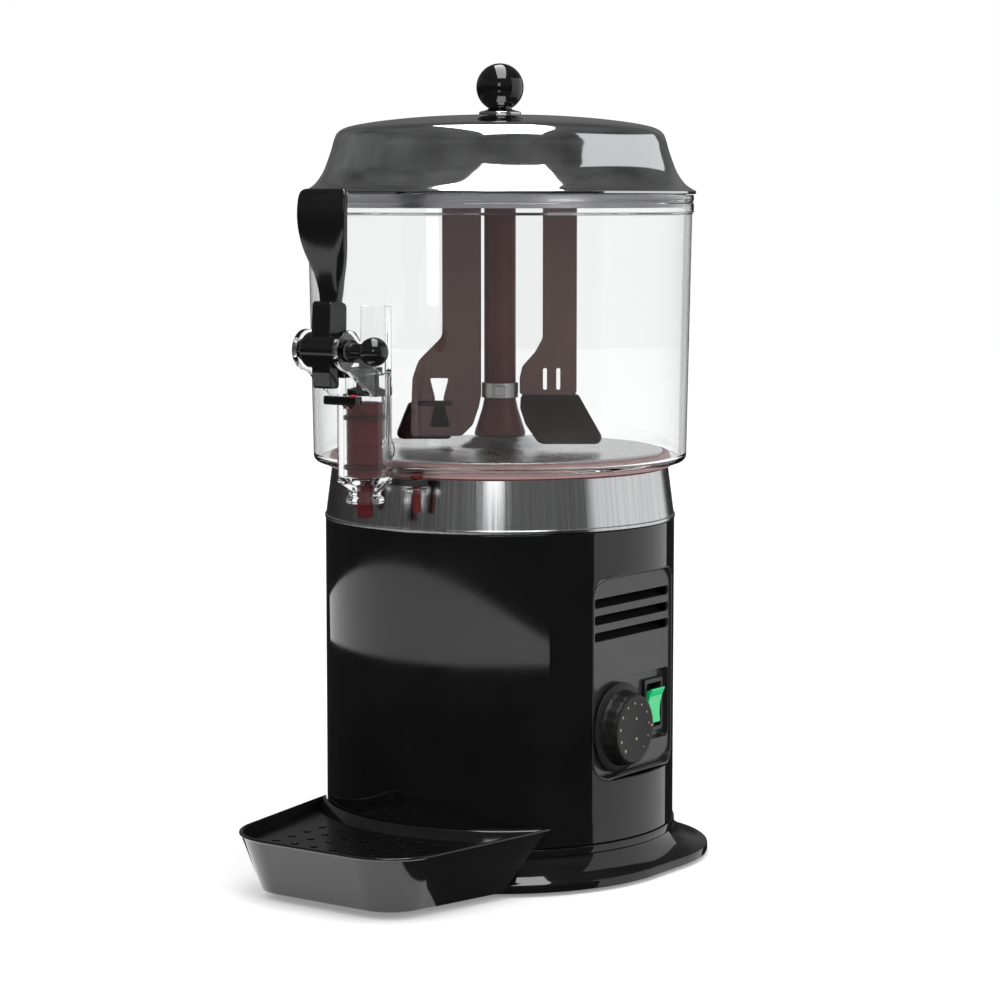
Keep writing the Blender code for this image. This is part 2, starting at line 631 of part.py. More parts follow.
# --- Bowl and lid ----------------------------------------------------------

def bowl_radius(height):
    """Outer radius of the bowl's tapered wall."""
    share = (height - BOWL_CORNER_Z) / (BOWL_RIM_Z - BOWL_CORNER_Z)
    return BOWL_LOW_R + (BOWL_R - 1 * MM - BOWL_LOW_R) * min(share, 1)


def build_bowl(column):
    """Clear bowl, its seal, and the domed lid with its ball knob."""
    corner = BOWL_LOW_R - BOWL_BOTTOM_R
    rise = BOWL_CORNER_Z - BOWL_BOTTOM
    turns = [radians(-90 + 90 * step / 4) for step in range(5)]
    outside = [(BOWL_BOTTOM_R + corner * cos(t), BOWL_CORNER_Z + rise * sin(t)) for t in turns]
    inner_corner = corner - BOWL_WALL
    inside = [(BOWL_BOTTOM_R + inner_corner * cos(t), BOWL_CORNER_Z + (rise - BOWL_WALL) * sin(t))
              for t in reversed(turns)]
    mouth = SEAL_OUT + GAP
    profile = [(mouth, BOWL_BOTTOM)] + outside
    profile += [(bowl_radius(BOWL_RIM_Z), BOWL_RIM_Z), (BOWL_R, BOWL_RIM_Z + 1 * MM)]
    profile += [(BOWL_R, BOWL_TOP), (BOWL_R - BOWL_WALL, BOWL_TOP)]
    profile += [(bowl_radius(BOWL_RIM_Z) - BOWL_WALL, BOWL_RIM_Z)] + inside
    profile += [(mouth, BOWL_BOTTOM + BOWL_WALL)]
    bowl = finish("bowl", turned(profile, ROUND), "clear", column)
    outlet = along("Y", turned(rod(OUTLET_R, -BOWL_R - 5 * MM, BOWL_WALL - BOWL_BOTTOM_R), SMALL))
    cut(bowl, finish("outlet_hole", outlet, None, column, (0, 0, NECK_Z)))
    seal_in = PLATE_R + GAP
    seal_low = BAND_TOP + GAP
    seal = [(seal_in, seal_low), (SEAL_LIP, seal_low), (SEAL_LIP, BOWL_BOTTOM - GAP),
            (SEAL_OUT, BOWL_BOTTOM - GAP), (SEAL_OUT, PLATE_TOP - 0.5 * MM), (seal_in, PLATE_TOP - 0.5 * MM)]
    finish("bowl_seal", turned(seal, ROUND), "seal_red", column)

    collar_low = LID_TOP
    rim = BOWL_TOP + GAP
    dome = [(50 * MM, LID_TOP - 1.8 * MM)]
    dome += [(LID_RIM_R - inward, BOWL_TOP + rise) for inward, rise in LID_CURVE]
    under = [(radius - LID_WALL * 0.8, height - LID_WALL) for radius, height in reversed(dome[:-1])]
    skirt_r = bowl_radius(BOWL_RIM_Z) - BOWL_WALL - RUN
    profile = [(0, LID_TOP)] + dome + [(LID_RIM_R, BOWL_TOP + 2.3 * MM), (LID_RIM_R, rim)]
    profile += [(skirt_r, rim), (skirt_r, rim - LID_SKIRT_DEPTH), (skirt_r - LID_WALL, rim - LID_SKIRT_DEPTH)]
    profile += [(skirt_r - LID_WALL, rim)] + under + [(0, LID_TOP - LID_WALL)]
    finish("lid", turned(profile, ROUND), "chrome", column)
    collar_high = collar_low + 3 * MM
    ball_centre = BALL_TOP - BALL_R
    neck_top = ball_centre - sqrt(BALL_R ** 2 - BALL_NECK ** 2)
    collar = [(0, collar_low + GAP), (COLLAR_R, collar_low + GAP), (COLLAR_R, collar_low + 2 * MM),
              (BALL_NECK, collar_high), (BALL_NECK, neck_top - GAP), (0, neck_top - GAP)]
    finish("lid_knob_collar", turned(collar, SMALL), "chrome", column)
    start = -degrees(asin((ball_centre - neck_top) / BALL_R))
    ball = [(0, neck_top)] + arc((0, ball_centre), BALL_R, start, 90, 9)[:-1] + [(0, ball_centre + BALL_R)]
    finish("lid_knob", turned(ball, SMALL), "gloss_black", column)


# --- Stirrer ---------------------------------------------------------------

def above_plate(*points):
    """Outline points given in millimetres, outward and above the plate."""
    return [(out * MM, PLATE_TOP + up * MM) for out, up in points]


def build_stirrer(column):
    """Column, hub, steel ring and the two blades, turned to their rest angle."""
    stirrer = empty("stirrer_axis", (0, 0, 0), column)
    stirrer.rotation_euler = (0, 0, radians(STIR_ANGLE))
    flare = [(STIR_BORE, STIR_LOW), (STIR_FOOT_R, STIR_LOW), (STIR_FOOT_R - 0.6 * MM, STIR_LOW + 3 * MM),
             (STIR_R + 1 * MM, STIR_FLARE_Z - 4 * MM), (STIR_R, STIR_FLARE_Z), (STIR_R, STIR_TOP),
             (STIR_BORE, STIR_TOP)]
    finish("stirrer_column", turned(flare, SMALL), "stirrer_brown", stirrer)
    ring = tube(STIR_R + GAP, STIR_R + GAP + RING_T, RING_LOW, RING_LOW + RING_H)
    finish("stirrer_ring", turned(ring, SMALL), "steel", stirrer)
    hub_low = STIR_TOP + GAP
    hub = finish("stirrer_hub", turned(rod(HUB_R, hub_low, HUB_TOP), SMALL), "stirrer_brown", stirrer)
    bore = turned(rod(STIR_BORE, STIR_TOP - 5 * MM, PIPE_TOP + 1.5 * MM), SMALL)
    cut(hub, finish("hub_bore", bore, None, stirrer))
    pocket = DOG_HALF + RUN
    socket = span((-pocket, -pocket, PIPE_TOP), (pocket, pocket, DOG_TOP + RUN))
    cut(hub, finish("hub_socket", socket, None, stirrer))

    near = STIR_R + RING_T + 2 * GAP
    left = [(-HUB_R - GAP, ARM_HIGH), (-34.6 * MM, ARM_HIGH)]
    left += above_plate((-34.6, 69), (-37, 63), (-48, 52), (-52.5, 44), (-54, 7), (-23, 7))
    left += [(-STIR_FOOT_R - 0.8 * MM, PLATE_TOP + 14 * MM)]
    left += [(-near - 1.6 * MM, PLATE_TOP + 25 * MM), (-near, PLATE_TOP + 30 * MM), (-near, STIR_TOP - 4 * MM)]
    left += [(-HUB_R - GAP, STIR_TOP - 1 * MM)]
    blade = finish("stirrer_blade_left", slab(left, "XZ", -BLADE_T / 2, BLADE_T / 2), "stirrer_brown", stirrer)
    window = above_plate((-39, 47), (-29, 47), (-31.5, 35), (-31, 32))
    window += above_plate((-28, 18), (-39, 18), (-37, 32), (-36.5, 35))
    cut(blade, finish("left_window", slab(window, "XZ", -20 * MM, 20 * MM), None, stirrer))
    tilt = radians(PLOUGH_TILT)
    outline = [(-11 * MM, 13.5 * MM), (13 * MM, 13.5 * MM), (15 * MM, -14 * MM), (-20 * MM, -14 * MM)]
    plough = slab(outline, "XZ", -PLOUGH_T / 2, PLOUGH_T / 2)
    join(blade, finish("left_plough", plough, None, stirrer,
                       (-44 * MM, 8.4 * MM, PLATE_TOP + 16 * MM), (tilt, 0, 0)))

    right = [(HUB_R + GAP, ARM_LOW), (25.6 * MM, ARM_LOW)] + above_plate((25.6, 65), (22, 59))
    right += [(near + 2 * MM, PLATE_TOP + 49 * MM), (near + 0.4 * MM, PLATE_TOP + 43 * MM)]
    right += [(near + 0.4 * MM, PLATE_TOP + 32 * MM)]
    right += [(46 * MM, PLATE_TOP + 31 * MM), (46 * MM, ARM_HIGH), (HUB_R + GAP, ARM_HIGH)]
    blade = finish("stirrer_blade_right", slab(right, "XZ", -BLADE_T / 2, BLADE_T / 2), "stirrer_brown",
                   stirrer)
    for number, place in enumerate((27 * MM, 35 * MM), start=1):
        slit = span((place - 1.2 * MM, -20 * MM, PLATE_TOP + 35 * MM),
                    (place + 1.2 * MM, 20 * MM, PLATE_TOP + 48 * MM))
        cut(blade, finish(f"right_slit_{number}", slit, None, stirrer))
    outline = [(-21.5 * MM, 17 * MM), (13 * MM, 17 * MM), (29 * MM, -17 * MM), (-11 * MM, -17 * MM)]
    outline += [(-19 * MM, -3 * MM), (-22 * MM, 8 * MM)]
    tongue = slab(outline, "XZ", -PLOUGH_T / 2, PLOUGH_T / 2)
    join(blade, finish("right_plough", tongue, None, stirrer,
                       (34 * MM, -9.6 * MM, PLATE_TOP + 18 * MM), (-tilt, 0, 0)))


# --- Tap -------------------------------------------------------------------

def build_barrel(column):
    """Clear barrel with its spout, outlet neck, cut-away top and two pivot ears."""
    tap = empty("tap_axis", (0, TAP_Y, 0), column)
    profile = [
        (SPOUT_BORE, SPOUT_LOW), (SPOUT_R, SPOUT_LOW), (SPOUT_R, SPOUT_LOW + 3 * MM),
        (SPOUT_R - 2 * MM, SPOUT_LOW + 4 * MM), (SPOUT_R - 2 * MM, SPOUT_LOW + 6 * MM),
        (BARREL_R, BARREL_LOW), (BARREL_R, BARREL_BACK_TOP), (BARREL_BORE, BARREL_BACK_TOP),
        (BARREL_BORE, BARREL_LOW + BARREL_FLOOR), (SPOUT_BORE, BARREL_LOW - BARREL_FLOOR),
    ]
    barrel = finish("tap_barrel", turned(profile, 28), "clear", tap)
    reach = 2 * BARREL_R
    side = 0.7 * BARREL_R
    above = BARREL_BACK_TOP + 5 * MM
    front = [(-reach, -reach), (reach, -reach), (reach, side * 0.98), (side, side), (0, 0)]
    front += [(-side, side), (-reach, side * 0.98)]
    cut(barrel, finish("barrel_front_cut", slab(front, "XY", BARREL_TOP, above), None, tap))
    slot_half = 3.2 * MM
    slot = span((-slot_half, -reach, BARREL_TOP - 20 * MM), (slot_half, 0, BARREL_TOP + 5 * MM))
    cut(barrel, finish("barrel_slot", slot, None, tap))
    gate_half = FORK_OUT + RUN
    gate = span((-gate_half, -reach, PIVOT_Z + FORK_LOW - RUN), (gate_half, 0, BARREL_TOP + 5 * MM))
    cut(barrel, finish("barrel_gate", gate, None, tap))

    ahead = -PIVOT_AHEAD
    strap = arc((ahead, PIVOT_Z), EAR_R, 60, 270, 10)
    strap += [(-10 * MM, BARREL_TOP - 13 * MM), (6 * MM, BARREL_TOP - 13 * MM)]
    strap += [(6 * MM, BARREL_TOP - 3 * MM), (-8 * MM, BARREL_TOP + 3 * MM)]
    for side_name, low in (("right", EAR_X), ("left", -EAR_X - EAR_T)):
        ear = slab(strap, "YZ", low, low + EAR_T)
        join(barrel, finish(f"ear_{side_name}", ear, None, tap))
    pin_hole = along("X", turned(rod(PIN_R + GAP, -40 * MM, 40 * MM), SMALL))
    cut(barrel, finish("pin_hole", pin_hole, None, tap, (0, ahead, PIVOT_Z)))

    wall_y = -sqrt((bowl_radius(NECK_Z)) ** 2 - (OUTLET_R + OUTLET_WALL) ** 2) - GAP - 0.6 * MM
    inner_y = -BARREL_BORE
    neck = along("Y", turned(rod(OUTLET_R + OUTLET_WALL, BARREL_BORE + 0.5 * MM, wall_y - TAP_Y), SMALL))
    join(barrel, finish("outlet_neck", neck, None, tap, (0, 0, NECK_Z)))
    way = along("Y", turned(rod(OUTLET_R, -inner_y - 3 * MM, 30 * MM), SMALL))
    cut(barrel, finish("outlet_way", way, None, tap, (0, 0, NECK_Z)))
    return tap


def build_piston(tap):
    """Red piston with its tip, two rings, black head and lift bar."""
    seat = BARREL_LOW + BARREL_FLOOR
    profile = [(0, TIP_LOW), (TIP_R - 1 * MM, TIP_LOW), (TIP_R, TIP_LOW + 1 * MM), (TIP_R, seat - 3 * MM),
               (PISTON_R, seat + 1 * MM)]
    for low in PISTON_RINGS:
        high = low + PISTON_RING_H
        profile += [(PISTON_R, low), (PISTON_R - GROOVE, low), (PISTON_R - GROOVE, high), (PISTON_R, high)]
    profile += [(PISTON_R, PISTON_TOP), (0, PISTON_TOP)]
    piston = finish("tap_piston", turned(profile, SMALL), "tap_red", tap)
    arm_low = PISTON_TOP - 1.6 * MM
    arm_back = BAR_SIZE[1] / 2 + GAP - BAR_AHEAD
    arm = span((-2.4 * MM, arm_back, arm_low), (2.4 * MM, -5 * MM, arm_low + 5 * MM))
    join(piston, finish("piston_arm", arm, None, tap))
    for name, low in zip(("piston_ring_lower", "piston_ring_upper"), PISTON_RINGS):
        ring = tube(PISTON_R - GROOVE + 0.1 * MM, BARREL_BORE - GAP, low + 0.2 * MM,
                    low + PISTON_RING_H - 0.2 * MM)
        finish(name, turned(ring, SMALL), "rubber", tap)
    stem_r, cap_r, cap_low = 4.4 * MM, 8.5 * MM, HEAD_LOW + 18 * MM
    head = [(0, HEAD_LOW), (HEAD_R, HEAD_LOW), (HEAD_R, HEAD_LOW + 3 * MM), (stem_r, HEAD_LOW + 4 * MM),
            (stem_r, cap_low), (cap_r, cap_low + 0.4 * MM), (cap_r, cap_low + 3 * MM), (0, cap_low + 4 * MM)]
    finish("piston_head", turned(head, SMALL), "matte_black", tap)
    finish("lift_bar", block(BAR_SIZE, (0, -BAR_AHEAD, BAR_Z), 0.6 * MM), "matte_black", tap)


def build_lever(tap):
    """Lever with its hub, toe, fork and spoon handle, and the pivot pin."""
    pivot = empty("lever_axis", (0, -PIVOT_AHEAD, PIVOT_Z), tap)
    inner = EAR_X - RUN
    hub = along("X", turned(rod(LEVER_HUB_R, -inner, inner), SMALL))
    lever = finish("tap_lever", hub, "gloss_black", pivot)
    body = [(-5 * MM, 27 * MM), (-6 * MM, -12 * MM), (-5 * MM, -21 * MM), (2.5 * MM, -21 * MM)]
    body += [(3 * MM, -10 * MM), (9 * MM, -6 * MM), (10 * MM, 27 * MM)]
    join(lever, finish("lever_block", slab(body, "YZ", -LEVER_HALF, LEVER_HALF), None, pivot))
    spine = [(3.5 * MM, 25 * MM, 5.8 * MM, 8.5 * MM), (4 * MM, 32 * MM, 7.2 * MM, 9 * MM)]
    spine += [(2.5 * MM, 46 * MM, 11 * MM, 9 * MM), (0 * MM, 58 * MM, 15 * MM, 9 * MM)]
    spine += [(-1 * MM, 70 * MM, 16.6 * MM, 9 * MM), (-0.5 * MM, 82 * MM, 16.6 * MM, 8.5 * MM)]
    spine += [(0.5 * MM, LEVER_TOP, 15.4 * MM, 7 * MM)]
    rings = []
    for y, z, half, thick in spine:
        corner = min(thick / 2, 3 * MM) - 0.2 * MM
        outline = rounded((-half, -thick / 2), (half, thick / 2), corner, 2)
        dish = 2.2 * MM * (half / (16 * MM)) ** 2
        rings.append([(x, y + depth - dish * (x / half) ** 2, z) for x, depth in outline])
    join(lever, finish("lever_handle", skin(rings, closed=False), None, pivot))
    for side in (-1, 1):
        low_x, high_x = sorted((side * FORK_IN, side * FORK_OUT))
        prong = span((low_x, 5 * MM, FORK_LOW), (high_x, FORK_REACH, FORK_HIGH))
        name = "fork_right" if side > 0 else "fork_left"
        join(lever, finish(name, prong, None, pivot))
        root = span((low_x, 3 * MM, FORK_LOW), (high_x, 9 * MM, -2 * MM))
        join(lever, finish(f"{name}_root", root, None, pivot))
    bore = along("X", turned(rod(PIN_R + GAP, -40 * MM, 40 * MM), SMALL))
    cut(lever, finish("lever_bore", bore, None, pivot))

    shoulder = EAR_X + EAR_T + GAP
    ball_x = shoulder + PIN_NECK_H + PIN_BALL_R
    start = 180 - degrees(asin(PIN_NECK_R / PIN_BALL_R))
    ball = [(0 + PIN_BALL_R * sin(radians(a)), ball_x + PIN_BALL_R * cos(radians(a)))
            for a in (start - (start * step) / 8 for step in range(8))]
    pin = [(0, -shoulder - 2 * MM), (PIN_R, -shoulder - 2 * MM), (PIN_R, shoulder),
           (PIN_NECK_R, shoulder)]
    pin += ball + [(0, ball_x + PIN_BALL_R)]
    finish("lever_pin", along("X", turned(pin, SMALL)), "gloss_black", pivot)


def build_lock(tap):
    """Clip behind the barrel, under the bowl, with a pin on each side."""
    back = BARREL_R + GAP
    clip = finish("tap_clip", span((-CLIP_HALF_X, back, CLIP_LOW),
                  (CLIP_HALF_X, back + CLIP_DEPTH, CLIP_HIGH), 0.8 * MM), "matte_black", tap)
    head_r = LOCK_R + 1.2 * MM
    pin_low = CLIP_LOW - LOCK_LENGTH
    for side, x in (("right", LOCK_X), ("left", -LOCK_X)):
        place = (x, back + CLIP_DEPTH / 2, 0)
        hole = turned(rod(LOCK_R + GAP, CLIP_LOW - 5 * MM, CLIP_HIGH + 5 * MM), SMALL)
        cut(clip, finish(f"clip_hole_{side}", hole, None, tap, place))
        pin = [(0, pin_low), (LOCK_R - 0.6 * MM, pin_low), (LOCK_R, pin_low + 2 * MM),
               (LOCK_R, CLIP_HIGH + GAP), (head_r, CLIP_HIGH + GAP), (head_r, CLIP_HIGH + 2 * MM),
               (0, CLIP_HIGH + 2.6 * MM)]
        finish(f"lock_pin_{side}", turned(pin, 16), "tap_red", tap, place)
        collar = tube(LOCK_R + GAP, COLLAR_LOCK_R, CLIP_LOW - 3.4 * MM, CLIP_LOW - 1.4 * MM)
        finish(f"lock_collar_{side}", turned(collar, SMALL), "clear", tap, place)


# --- Drip tray -------------------------------------------------------------

def tray_ring(inset, height):
    """Tray plan: sides that close in towards the round front corners, back round the body."""
    half = TRAY_HALF_X - inset
    back_r = BODY_R + 1.2 * MM + inset
    tip_angle = degrees(atan2(-sqrt(back_r ** 2 - half ** 2), half))
    corner = TRAY_CORNER - inset
    front = -TRAY_FRONT + inset
    centre = TRAY_FRONT_HALF - TRAY_CORNER
    lean = degrees(atan2(TRAY_HALF_X - TRAY_FRONT_HALF, TRAY_FRONT - TRAY_CORNER - BODY_R / 2))
    tip = (half, back_r * sin(radians(tip_angle)))
    turn = arc((centre, front + corner), corner, -lean, -90, 6)
    side = [tuple(a + (b - a) * step / 4 for a, b in zip(tip, turn[0])) for step in range(4)]
    right = side + turn
    left = [(-x, y) for x, y in reversed(right)]
    back = arc((0, 0), back_r, -180 - tip_angle, tip_angle, 12)[1:-1]
    return [(x, y, height) for x, y in right + left + back]


def draft(height):
    """How far the tray's wall leans in at a height."""
    return TRAY_DRAFT * (TRAY_TOP - height) / (TRAY_TOP - TRAY_BOTTOM)


def inside_ring(height, floor, slack):
    """A ring inside the tray's wall, on the straight slope from its floor to its rim."""
    share = (height - floor) / (TRAY_TOP - floor)
    low = tray_ring(draft(floor) + TRAY_WALL + slack, floor)
    high = tray_ring(TRAY_WALL + slack, TRAY_TOP)
    return [tuple(a + (b - a) * share for a, b in zip(one, two)) for one, two in zip(low, high)]


def build_tray(column):
    """Hanger plate, tapered tray and its lift-out grid."""
    floor = TRAY_BOTTOM + TRAY_WALL
    grid_top = GRID_Z + GRID_T
    rings = [tray_ring(draft(TRAY_BOTTOM), TRAY_BOTTOM), tray_ring(0, TRAY_TOP)]
    rings += [inside_ring(height, floor, 0) for height in (TRAY_TOP, grid_top, GRID_Z, floor)]
    finish("drip_tray", skin(rings, closed=False), "gloss_black", column)

    rings = [inside_ring(GRID_Z, floor, GRID_SLACK), inside_ring(grid_top, floor, GRID_SLACK)]
    grid = finish("tray_grid", skin(rings, closed=False), "matte_black", column)
    for row in range(4):
        for place in range(-3, 4):
            x = place * GRID_PITCH
            y = -TRAY_FRONT + 24 * MM + row * GRID_PITCH
            if hypot(x, y) < BODY_R + 14 * MM:
                continue
            hole = turned(rod(GRID_HOLE_R, GRID_Z - 5 * MM, grid_top + 5 * MM), 6)
            cut(grid, finish(f"grid_hole_{row}_{place + 3}", hole, None, column, (x, y, 0)))

    top = TRAY_BOTTOM - GAP
    plate = finish("tray_hanger", span((-HANGER_HALF_X, -BODY_R - HANGER_HALF_Y, top - HANGER_T),
                   (HANGER_HALF_X, HANGER_HALF_Y - BODY_R, top)),
                   "matte_black", column)
    keep_out = skin([base_ring(1, -0.01, -GAP), base_ring(1, 0.05, -GAP)], closed=False)
    cut(plate, finish("hanger_clear", keep_out, None, column))


def main():
    clear_scene()
    column = empty("column_axis", (0, COLUMN_Y, 0))
    build_base(column)
    build_body(column)
    build_panel(column)
    build_drive(column)
    build_bowl(column)
    build_stirrer(column)
    tap = build_barrel(column)
    build_piston(tap)
    build_lever(tap)
    build_lock(tap)
    build_tray(column)


if __name__ == "__main__":
    main()
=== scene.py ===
"""Visual model of a countertop heated drink dispenser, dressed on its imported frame.

Meshes and the studio are in metres. The sizes that a sub-assembly holds are in millimetres, except
those that are written with MM. Round pieces are drawn about the column axis and then moved to it.
"""

import json
import logging
from collections.abc import Callable, Sequence
from dataclasses import dataclass
from enum import Enum
from math import acos, atan2, cos, degrees, hypot, pi, radians, sin, sqrt, tan

import bmesh
import bpy
from mathutils import Matrix, Vector

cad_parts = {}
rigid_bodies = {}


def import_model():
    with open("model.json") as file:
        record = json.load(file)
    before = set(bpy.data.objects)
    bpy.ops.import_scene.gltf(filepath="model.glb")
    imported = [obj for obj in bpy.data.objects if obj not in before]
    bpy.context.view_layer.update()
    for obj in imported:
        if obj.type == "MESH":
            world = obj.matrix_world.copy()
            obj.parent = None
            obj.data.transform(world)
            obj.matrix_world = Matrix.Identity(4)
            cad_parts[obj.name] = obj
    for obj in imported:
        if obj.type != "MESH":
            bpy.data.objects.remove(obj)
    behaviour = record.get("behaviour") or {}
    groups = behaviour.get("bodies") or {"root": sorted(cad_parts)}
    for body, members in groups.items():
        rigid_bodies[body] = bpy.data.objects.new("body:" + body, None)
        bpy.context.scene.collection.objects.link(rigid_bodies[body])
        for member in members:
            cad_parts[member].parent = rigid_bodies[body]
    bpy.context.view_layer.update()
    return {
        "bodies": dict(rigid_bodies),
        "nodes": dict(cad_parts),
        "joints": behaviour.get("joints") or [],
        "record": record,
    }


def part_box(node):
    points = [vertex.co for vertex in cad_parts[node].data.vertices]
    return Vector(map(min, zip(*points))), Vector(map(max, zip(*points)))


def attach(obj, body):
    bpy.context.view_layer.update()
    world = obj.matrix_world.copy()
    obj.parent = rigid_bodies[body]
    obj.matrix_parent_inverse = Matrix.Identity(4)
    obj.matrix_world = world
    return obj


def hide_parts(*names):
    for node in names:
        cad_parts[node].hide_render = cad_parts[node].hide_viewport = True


MM = 0.001
Point2 = tuple[float, float]
Point3 = tuple[float, float, float]
LOG = logging.getLogger("dispenser")


class Rides(Enum):
    """The frame's bodies."""

    CHASSIS = "chassis"
    BOWL = "bowl"
    LID = "lid"
    STIRRER = "stirrer"
    LEVER = "lever"
    PISTON = "piston"
    DIAL = "dial"
    ROCKER = "rocker"
    TRAY = "tray"
    GRID = "grid"


class Plane(Enum):
    """The two axes that a flat outline is drawn in; its thickness runs along the third."""

    XY = "XY"
    XZ = "XZ"
    YZ = "YZ"


class Join(Enum):
    """How one solid is combined with another."""

    ADD = "UNION"
    CUT = "DIFFERENCE"


# --- Shader nodes ------------------------------------------------------------


@dataclass
class Wiring:
    """Short ways to add and link nodes in one tree."""

    tree: bpy.types.NodeTree

    def node(self, kind: str, **settings: object) -> bpy.types.Node:
        """Add a node of a kind and set its attributes.

        Args:
            kind: Node type without the ShaderNode prefix.
            **settings: Attributes to set on it.

        Returns:
            The new node.
        """
        made = self.tree.nodes.new("ShaderNode" + kind)
        for name, value in settings.items():
            setattr(made, name, value)
        return made

    def feed(self, socket: bpy.types.NodeSocket, value: object) -> None:
        """Link a socket to value, or set it if value is a plain number or colour."""
        if isinstance(value, bpy.types.NodeSocket):
            self.tree.links.new(value, socket)
        else:
            socket.default_value = value

    def maths(self, operation: str, *values: object) -> bpy.types.NodeSocket:
        """A Math node's result for the given inputs.

        Args:
            operation: The Math node's operation.
            *values: The inputs in order.

        Returns:
            The result.
        """
        made = self.node("Math", operation=operation)
        for socket, value in zip(made.inputs, values):
            self.feed(socket, value)
        return made.outputs[0]

    def noise(self, vector: object, scale: object, detail: float = 3.0) -> bpy.types.NodeSocket:
        """Noise value between about 0.3 and 0.7 over a vector.

        Args:
            vector: Position to read the noise at.
            scale: How fine it is.
            detail: Number of finer layers.

        Returns:
            The noise value.
        """
        made = self.node("TexNoise")
        self.feed(made.inputs["Vector"], vector)
        self.feed(made.inputs["Scale"], scale)
        made.inputs["Detail"].default_value = detail
        return made.outputs["Fac"]

    def spread(self, value: object, low: object, high: object) -> bpy.types.NodeSocket:
        """Map noise from its usual range onto low to high.

        Args:
            value: The value to map.
            low: Result for the lowest noise.
            high: Result for the highest noise.

        Returns:
            The mapped value.
        """
        made = self.node("MapRange")
        self.feed(made.inputs["Value"], value)
        made.inputs["From Min"].default_value = 0.32
        made.inputs["From Max"].default_value = 0.68
        self.feed(made.inputs["To Min"], low)
        self.feed(made.inputs["To Max"], high)
        return made.outputs["Result"]

    def group(self, effect: "Effect", **values: object) -> bpy.types.NodeSocket:
        """Place a shared effect and return its one output.

        Args:
            effect: The shared effect.
            **values: Values for the effect's inputs.

        Returns:
            The effect's output.
        """
        made = self.node("Group", node_tree=effect.tree())
        for name, value in values.items():
            self.feed(made.inputs[name], value)
        return made.outputs[0]


@dataclass(frozen=True)
class Effect:
    """A surface effect that several finishes share, built once as a node group."""

    name: str
    inputs: tuple[tuple[str, str], ...]
    output: tuple[str, str]
    draw: Callable[[Wiring, dict[str, bpy.types.NodeSocket]], bpy.types.NodeSocket]

    def tree(self) -> bpy.types.NodeTree:
        """The node group, made on first use.

        Returns:
            The group with this effect's named inputs and single output.
        """
        known = bpy.data.node_groups.get(self.name)
        if known:
            return known
        made = bpy.data.node_groups.new(self.name, "ShaderNodeTree")
        for name, kind in self.inputs:
            made.interface.new_socket(name, in_out="INPUT", socket_type="NodeSocket" + kind)
        made.interface.new_socket(self.output[0], in_out="OUTPUT", socket_type="NodeSocket" + self.output[1])
        wires = Wiring(made)
        entry = made.nodes.new("NodeGroupInput")
        leave = made.nodes.new("NodeGroupOutput")
        sockets = {name: entry.outputs[name] for name, _ in self.inputs}
        wires.feed(leave.inputs[0], self.draw(wires, sockets))
        return made


def about_axis(wires: Wiring, centre_y: bpy.types.NodeSocket) -> bpy.types.Node:
    """Separate the object's position, measured from the column axis, into X, Y and Z.

    Args:
        wires: The node tree's wiring.
        centre_y: Y of the column axis.

    Returns:
        The node whose outputs are X, Y and Z from the axis.
    """
    place = wires.node("SeparateXYZ")
    wires.feed(place.inputs[0], wires.node("TexCoord").outputs["Object"])
    moved = wires.node("CombineXYZ")
    wires.feed(moved.inputs[0], place.outputs[0])
    wires.feed(moved.inputs[1], wires.maths("SUBTRACT", place.outputs[1], centre_y))
    wires.feed(moved.inputs[2], place.outputs[2])
    result = wires.node("SeparateXYZ")
    wires.feed(result.inputs[0], moved.outputs[0])
    return result


def radius_of(wires: Wiring, place: bpy.types.Node) -> bpy.types.NodeSocket:
    """Distance from the axis of a separated position.

    Args:
        wires: The node tree's wiring.
        place: A separated position.

    Returns:
        The distance.
    """
    across = wires.maths("MULTIPLY", place.outputs[0], place.outputs[0])
    ahead = wires.maths("MULTIPLY", place.outputs[1], place.outputs[1])
    return wires.maths("SQRT", wires.maths("ADD", across, ahead))


def draw_smudge(wires: Wiring, given: dict[str, bpy.types.NodeSocket]) -> bpy.types.NodeSocket:
    """Soft hand marks: two sizes of cloud mapped onto a clean and a smudged roughness.

    Args:
        wires: The node tree's wiring.
        given: The group's input sockets.

    Returns:
        Roughness.
    """
    place = wires.node("TexCoord").outputs["Object"]
    cloud = wires.noise(place, given["Scale"], 2.0)
    fine = wires.noise(place, wires.maths("MULTIPLY", given["Scale"], 9.0), 4.0)
    both = wires.maths("ADD", wires.maths("MULTIPLY", cloud, 0.7), wires.maths("MULTIPLY", fine, 0.3))
    return wires.spread(both, given["Clean"], given["Smudged"])


def draw_grain(wires: Wiring, given: dict[str, bpy.types.NodeSocket]) -> bpy.types.NodeSocket:
    """Moulded texture: fine noise with a coarser roll under it.

    Args:
        wires: The node tree's wiring.
        given: The group's input sockets.

    Returns:
        Height.
    """
    place = wires.node("TexCoord").outputs["Object"]
    fine = wires.noise(place, given["Scale"], 5.0)
    roll = wires.noise(place, wires.maths("MULTIPLY", given["Scale"], 0.06), 1.0)
    return wires.maths("ADD", wires.maths("MULTIPLY", fine, given["Fine"]), roll)


def draw_two_tone(wires: Wiring, given: dict[str, bpy.types.NodeSocket]) -> bpy.types.NodeSocket:
    """Slow change between two colours.

    Args:
        wires: The node tree's wiring.
        given: The group's input sockets.

    Returns:
        Colour.
    """
    place = wires.node("TexCoord").outputs["Object"]
    share = wires.spread(wires.noise(place, given["Scale"], 5.0), 0.0, 1.0)
    mix = wires.node("Mix", data_type="RGBA")
    wires.feed(mix.inputs["Factor"], share)
    wires.feed(mix.inputs[6], given["Dark"])
    wires.feed(mix.inputs[7], given["Light"])
    return mix.outputs[2]


